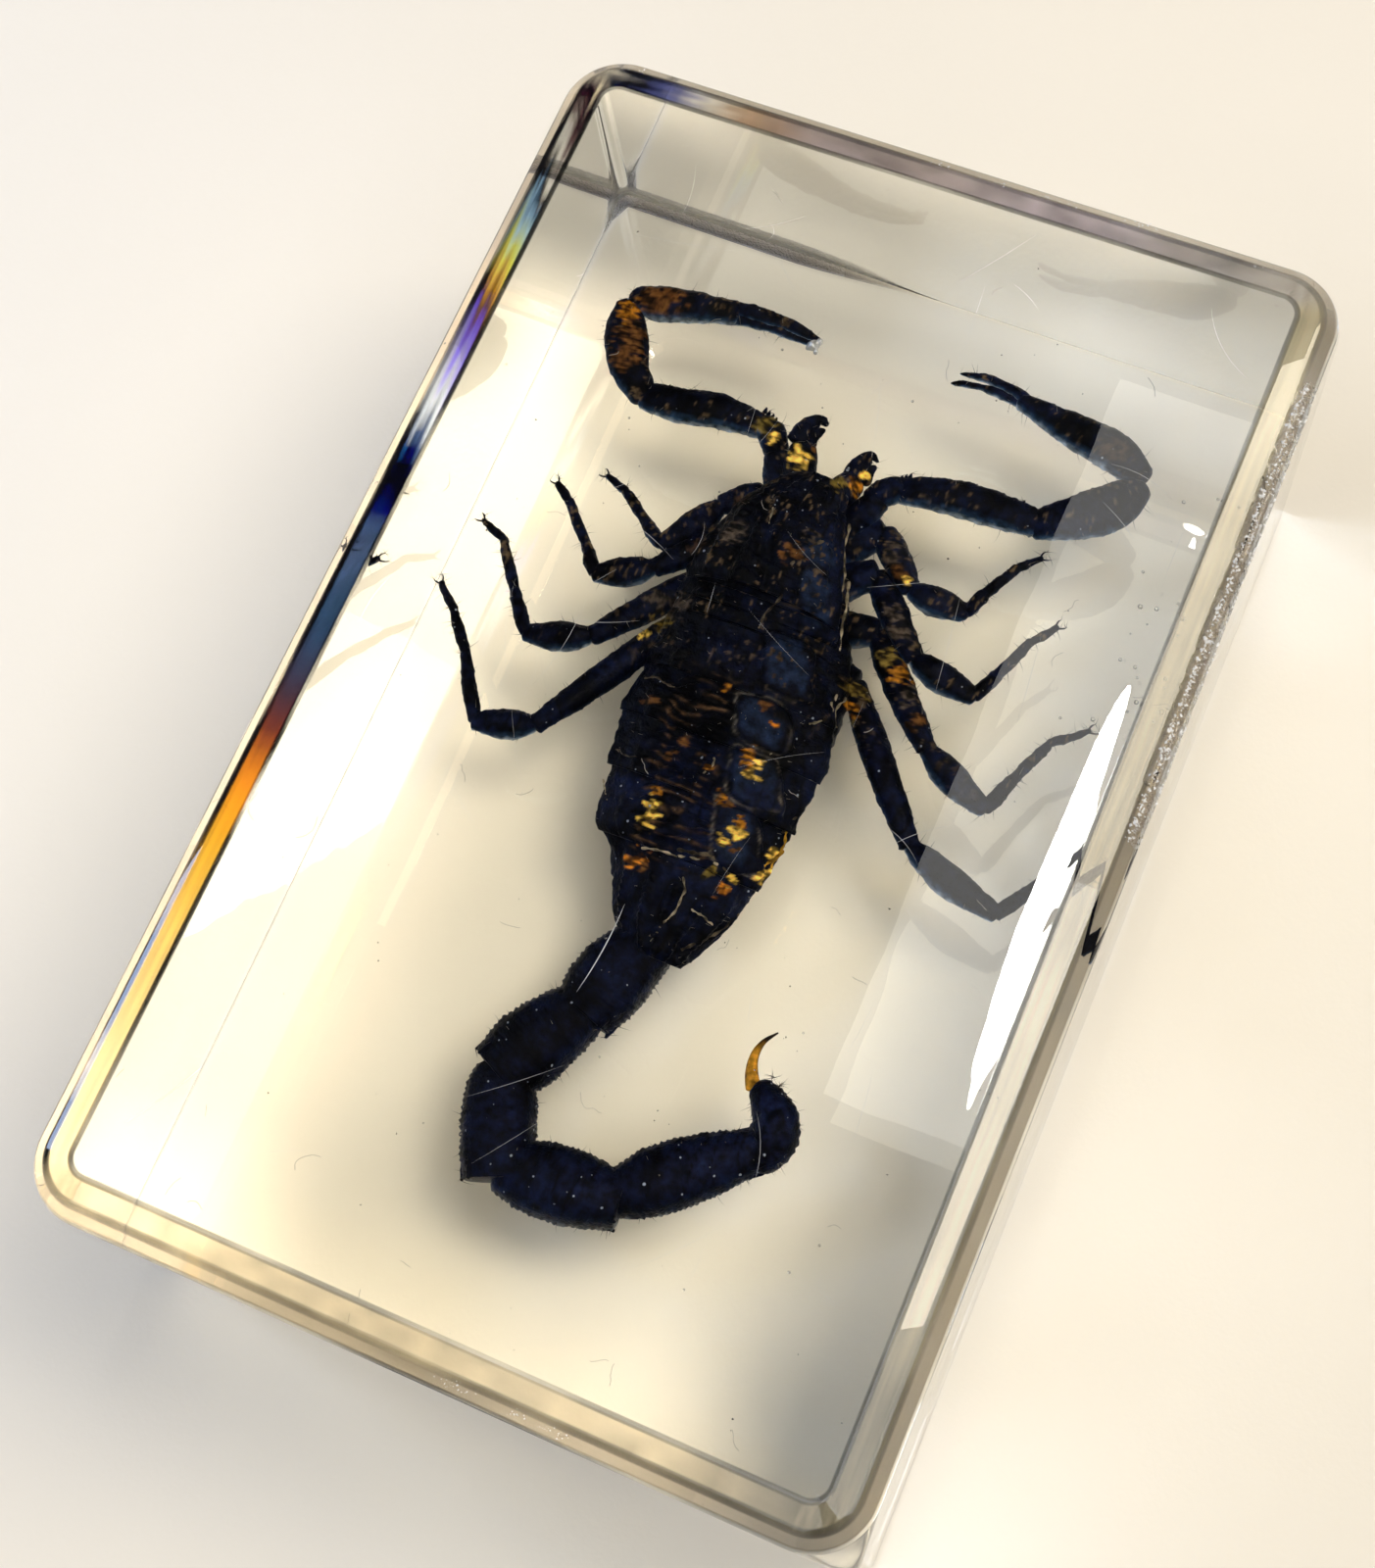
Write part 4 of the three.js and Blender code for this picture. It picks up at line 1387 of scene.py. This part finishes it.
# %% Grow the hairs
def bristle_material(name, colour, colour_at_tip):
    made, tree, shader = new_material(name, {"Roughness": 0.45, "IOR": 1.2})
    along = add(tree, "VertexColor", layer_name="along").outputs["Color"]
    fade = add(tree, "Mix", {"A": paint(colour), "B": paint(colour_at_tip)}, {"Factor": along},
               data_type="RGBA")
    tree.links.new(fade.outputs["Result"], shader.inputs["Base Color"])
    return made


dark_bristle = bristle_material("dark_bristle", "#17110d", "#3a2a1c")
pale_bristle = bristle_material("pale_bristle", "#8d8474", "#cfc7b6")
LEVELS = np.array([0.0, 0.35, 0.7, 1.0])
HAIR_SPREAD, HAIR_BEND = 0.35, 0.12


def bristles(name, on, count, length, thick, material, seed, sideways=0.0):
    """Three-sided hairs on the named skins; `sideways` prefers roots that face sideways."""
    draws = np.random.default_rng(seed)
    roots = np.concatenate([skins[piece][0] for piece in on])
    out = np.concatenate([skins[piece][1] for piece in on])
    fit = np.flatnonzero((out[:, 2] > -0.4) & (np.hypot(out[:, 0], out[:, 1]) > sideways))
    pick = draws.choice(fit, count)
    root, out = roots[pick], out[pick]
    lean = unit(out + draws.normal(0, HAIR_SPREAD, (count, 3)))
    bend = np.cross(lean, draws.normal(0, 1, (count, 3)))
    reach = length * draws.uniform(0.4, 1.3, count)[:, None]
    side = unit(np.cross(lean, (0.3, 0.5, 0.8)))
    other = np.cross(lean, side)
    rings, shade = [], []
    for t in LEVELS:
        centre = root + lean * reach * t + bend * reach * HAIR_BEND * t * t
        for turn in np.radians([0, 120, 240]):
            spoke = side * np.cos(turn) + other * np.sin(turn)
            rings.append(centre + spoke * thick * (1.03 - t))
            shade.append(np.full(count, t))
    points = np.stack(rings, axis=1).reshape(-1, 3)
    shade = np.repeat(np.stack(shade, axis=1).reshape(-1, 1), 3, axis=1)
    per_hair = 3 * len(LEVELS)
    pattern = [(2, 1, 0), (per_hair - 3, per_hair - 2, per_hair - 1)]
    pattern += [(3 * r + k, 3 * r + (k + 1) % 3, 3 * r + 3 + (k + 1) % 3, 3 * r + 3 + k)
                for r in range(len(LEVELS) - 1) for k in range(3)]
    faces = []
    for hair in range(count):
        faces += renumbered(pattern, hair * per_hair)
    make_piece(name, points, faces, material, layers={"along": shade})


jaws = [f"chelicera_{side}" for side in JAWS]
legs = [f"leg_{leg}" for leg in LEGS]
arms = [name for name in skins if name.startswith("pedipalp")]
tail = [name for name in skins if name.startswith("tail")] + ["vesicle"]
trunk = [name for name in skins if name.startswith(("tergite", "carapace"))]
bristles("bristles_legs_dark", legs, 420, 0.55, 0.017, dark_bristle, 1, 0.6)
bristles("bristles_legs_pale", legs, 160, 0.7, 0.015, pale_bristle, 2, 0.3)
bristles("bristles_arms_dark", arms, 200, 0.7, 0.016, dark_bristle, 3, 0.6)
bristles("bristles_arms_pale", arms, 120, 0.6, 0.014, pale_bristle, 4, 0.2)
bristles("bristles_tail_dark", tail, 200, 0.6, 0.017, dark_bristle, 5, 0.85)
bristles("bristles_tail_pale", tail, 60, 0.4, 0.014, pale_bristle, 6)
bristles("bristles_trunk_pale", trunk, 150, 0.35, 0.014, pale_bristle, 7)
bristles("bristles_jaws", jaws, 60, 0.7, 0.015, pale_bristle, 8)

# %% [markdown]
# ## What else is in the resin
#
# Casting traps air. The bubbles are hollows, so their surface faces the other way round: the
# skin of a bubble is where the resin ends. Turning each ball inside out gives that, with a
# clear material that bends light as the resin does.

# %% Air bubbles
ball_mesh = shell([(0, 0, -1), (0, 0, 0), (0, 0, 1)], [1, 1, 1], [1, 1, 1], blunt=(1, 0.999),
                  wrinkle=0, grain=0, up=(0, 1, 0))
bubble_air, tree, shader = new_material("trapped_air", {
    "IOR": RESIN_IOR, "Transmission Weight": 1.0, "Roughness": 0.02})
bump(tree, shader, noise(tree, 0.3), 0.3, 0.02)


def balls(centres, sizes, inside_out):
    parts = []
    for centre, size in zip(centres, sizes):
        points, faces, colours, outward = ball_mesh
        if inside_out:
            faces = [face[::-1] for face in faces]
        parts.append((points * size + centre, faces, colours, outward))
    return joined(parts)


draws = np.random.default_rng(21)
streams = [
    # middle, spread, count, smallest, largest
    ((18.6, 15.5, 9), (1.6, 3.6, 3), 22, 0.05, 0.16),
    ((19.5, 25.5, 11), (1.0, 1.5, 2), 6, 0.05, 0.14),
    ((-8, 22, 10), (7, 4, 4), 9, 0.04, 0.09),
    ((4, -18, 9), (9, 9, 5), 12, 0.04, 0.08),
]
centres, sizes = [], []
for middle, spread, count, smallest, largest in streams:
    centres += list(draws.normal(middle, spread, (count, 3)).clip((-21, -34, 2), (21.4, 34, 25)))
    sizes += list(draws.uniform(smallest, largest, count))
points, faces, _, _ = balls(centres, sizes, True)
make_piece("air_bubbles", points, faces, bubble_air)

# %% [markdown]
# At the left finger tips air clung to the dry claw as one larger silvery bubble, made here of
# three balls. Such a film of air mirrors the light like quicksilver.

# %% The silver bubble
silver_air, tree, shader = new_material("silvery_air_film", {"Metallic": 0.6, "Roughness": 0.25})
foam = noise(tree, 0.2, detail=3)
colour_between(tree, shader, "#c9ced4", "#ffffff", foam)
bump(tree, shader, foam, 0.8, 0.05)
tip = np.array([-5.75, 27.0, 9.7])
points, faces, _, _ = balls([tip, tip + (0.25, 0.35, 0), tip + (0.3, -0.35, 0.1)],
                            [0.36, 0.22, 0.16], False)
points = points + 0.08 * hills(points, 0.25, 70)[:, None]
make_piece("silver_bubble", points, faces, silver_air)

# %% [markdown]
# Lint and dust fall into the wet resin: curled fibres one or two millimetres long, and dark
# crumbs. A dozen fibres have a place of their own, and the rest lie at random.

# %% Lint
lint_fibre, tree, shader = new_material("lint_fibre", {"Roughness": 0.7, "IOR": 1.2})
colour_between(tree, shader, "#6d655c", "#e8e2d8", noise(tree, 2.5))
CURL_STEPS, CURL_TURN, CURL_RISE = 14, 0.28, 0.25


def curl(start, length, radius, draws):
    """A random curled line inside the resin."""
    heading = draws.uniform(0, 2 * np.pi)
    turn = draws.normal(0, CURL_TURN, CURL_STEPS).cumsum()
    steps = np.column_stack([np.cos(heading + turn), np.sin(heading + turn),
                             draws.normal(0, CURL_RISE, CURL_STEPS)]) * length / CURL_STEPS
    line = start + steps.cumsum(axis=0)
    return shell(line, [radius] * 3, [radius] * 3, blunt=(0.03, 0.03), wrinkle=0, grain=0)


draws = np.random.default_rng(31)
LINT_AT = [(-21.3, -11.5, 10), (-19.9, -33.0, 12), (-0.8, -18.1, 8), (7.1, -31.8, 9),
           (-6.9, -33.1, 11), (-18.5, -33.4, 14), (-17.0, -32.0, 13), (19.0, 12.0, 15),
           (3.0, 26.0, 15), (-12.0, -27.0, 9), (12.0, -8.0, 16), (14.0, 30.0, 12)]
STRAY_FIBRES, STRAY_SPECKS = 26, 110
fibres = [curl(np.array(at), draws.uniform(0.8, 2.2), 0.018, draws) for at in LINT_AT]
fibres += [curl(draws.uniform((-20, -33, 3), (20, 33, 24)), draws.uniform(0.5, 1.4), 0.014, draws)
           for _ in range(STRAY_FIBRES)]
points, faces, _, _ = joined(fibres)
make_piece("lint_fibres", points, faces, lint_fibre)

# %% [markdown]
# Crumbs, splinters and chips are all small stones with eight flat sides. Their corners are
# jittered, so no two are alike, and they are left flat shaded, because they are broken.

# %% Crumbs
def crumbs(name, centres, sizes, material, seed):
    """Small lumps: eight-sided stones with jittered corners."""
    draws = np.random.default_rng(seed)
    stone = np.array([(1, 0, 0), (-1, 0, 0), (0, 1, 0), (0, -1, 0), (0, 0, 1), (0, 0, -1)], float)
    sides = [(0, 2, 4), (2, 1, 4), (1, 3, 4), (3, 0, 4), (2, 0, 5), (1, 2, 5), (3, 1, 5), (0, 3, 5)]
    points, faces = [], []
    for number, (centre, size) in enumerate(zip(centres, sizes)):
        shape = stone * draws.uniform(0.4, 1.0, (6, 1)) + draws.normal(0, 0.15, (6, 3))
        points.append(shape * size + centre)
        faces += renumbered(sides, 6 * number)
    made = make_piece(name, np.concatenate(points), faces, material)
    made.data.shade_flat()


def grit_material(name, dark, light, roughness, size_mm=0.4):
    """A dull opaque material whose colour runs from dark to light."""
    made, tree, shader = new_material(name, {"Roughness": roughness})
    colour_between(tree, shader, dark, light, noise(tree, size_mm))
    return made


dust = grit_material("dark_dust", "#2b2622", "#6a6058", 0.8)
crumbs("dark_specks", draws.uniform((-21, -34, 2), (21, 34, 25), (STRAY_SPECKS, 3)),
       draws.uniform(0.03, 0.09, STRAY_SPECKS), dust, 41)

# %% [markdown]
# ## Wear on the outside
#
# The knocked right edge sparkles, because splinters of resin stand out of it at all angles.
# Over two thousand of them along the frosted strip catch the light one by one. Elsewhere
# along the top edge there are a few chips, each a handful of splinters.

# %% Splinters on the worn edge
crushed = grit_material("crushed_white_resin", "#d8d8da", "#ffffff", 0.35)
SPLINTERS = 2400
SPLINTERS_PER_CHIP = 9

draws = np.random.default_rng(51)
along_y = draws.uniform(FROST_FROM, FROST_TO, SPLINTERS)
down = draws.beta(2, 2, SPLINTERS)
centres = np.column_stack([
    block_high[0] - 0.75 * (1 - down) ** 1.3 - 0.02 + draws.normal(0, 0.03, SPLINTERS),
    along_y,
    TOP - 0.35 - 1.1 * down,
])
centres[:, 0] = np.minimum(centres[:, 0], block_high[0] - 0.01)
crumbs("splinters_right_edge", centres, draws.uniform(0.03, 0.16, SPLINTERS), crushed, 52)

CHIPS = [(-0.8, 34.6), (2.8, 34.4), (5.2, 34.7), (6.6, 34.7), (10.4, 34.7), (11.4, 34.8),
         (17.1, 34.4), (1.6, -34.7), (2.7, -34.8), (5.5, -34.7), (6.6, -34.8), (7.6, -34.8),
         (19.9, -32.6), (-19.0, 34.5)]
centres = np.concatenate([
    draws.normal((x, y, TOP - 0.42), (0.3, 0.1, 0.08), (SPLINTERS_PER_CHIP, 3)) for x, y in CHIPS])
crumbs("chips_top_edge", centres, draws.uniform(0.02, 0.08, len(centres)), crushed, 53)

# %% [markdown]
# The polished top has fine scratches from handling, and one long white one. A scratch is a
# groove with a ground bottom. It is drawn as a sliver of ground resin in the surface, 0.01
# to 0.06 mm wide.

# %% Scratches on the top
ground_resin = grit_material("ground_scratch", "#a7a5a2", "#ffffff", 0.6, size_mm=0.8)
SCRATCH_STEPS = 9
SCRATCH_DEPTH, SCRATCH_LIP = 0.012, 0.004
FINE_SCRATCHES = 60


def scratch(start, end, width, bend=0.0):
    """Points and faces of one sliver, thickest in the middle."""
    count = SCRATCH_STEPS
    t = np.linspace(0, 1, count)
    start, end = np.array(start), np.array(end)
    across = unit(np.array([-(end - start)[1], (end - start)[0]]))
    middle = start + (end - start) * t[:, None] + across * (bend * 4 * t * (1 - t))[:, None]
    half = (width / 2 * (0.15 + np.sin(np.pi * t)))[:, None] * across
    low, high = TOP - SCRATCH_DEPTH, TOP + SCRATCH_LIP
    sides = [np.column_stack([middle + s * half, np.full(count, z)])
             for s, z in ((-1, high), (1, high), (0, low))]
    points = np.concatenate(sides)
    faces = [(0, count, 2 * count), (count - 1, 3 * count - 1, 2 * count - 1)]
    for i in range(count - 1):
        for a, b in ((0, 1), (1, 2), (2, 0)):
            faces.append((a * count + i, a * count + i + 1, b * count + i + 1, b * count + i))
    return points, [list(face) for face in faces]


draws = np.random.default_rng(61)
lines = [((0.15, -10.3), (-0.25, -15.3), 0.05, 0.15), ((-3.0, 17.0), (-5.2, 12.0), 0.012, 0.3),
         ((-9.0, 9.0), (-5.0, 7.6), 0.014, 0.2), ((14.5, 18.5), (16.8, 17.0), 0.02, 0.1),
         ((11.0, -3.0), (13.6, -0.6), 0.016, 0.2), ((-13.6, 12.5), (-12.4, 10.8), 0.02, 0.0)]
for _ in range(FINE_SCRATCHES):
    start = draws.uniform((-19, -31), (19, 31))
    heading = draws.normal(np.pi / 2, 0.9)
    end = start + draws.uniform(1.0, 6.0) * np.array([np.cos(heading), np.sin(heading)])
    if np.all(np.abs(end) < (20, 32)):
        lines.append((start, end, draws.uniform(0.006, 0.016), draws.normal(0, 0.15)))
points, faces, count = [], [], 0
for line in lines:
    sliver, sides = scratch(*line)
    points.append(sliver)
    faces += renumbered(sides, count)
    count += len(sliver)
make_piece("polish_scratches", np.concatenate(points), faces, ground_resin)
print(len(lines), "scratches")
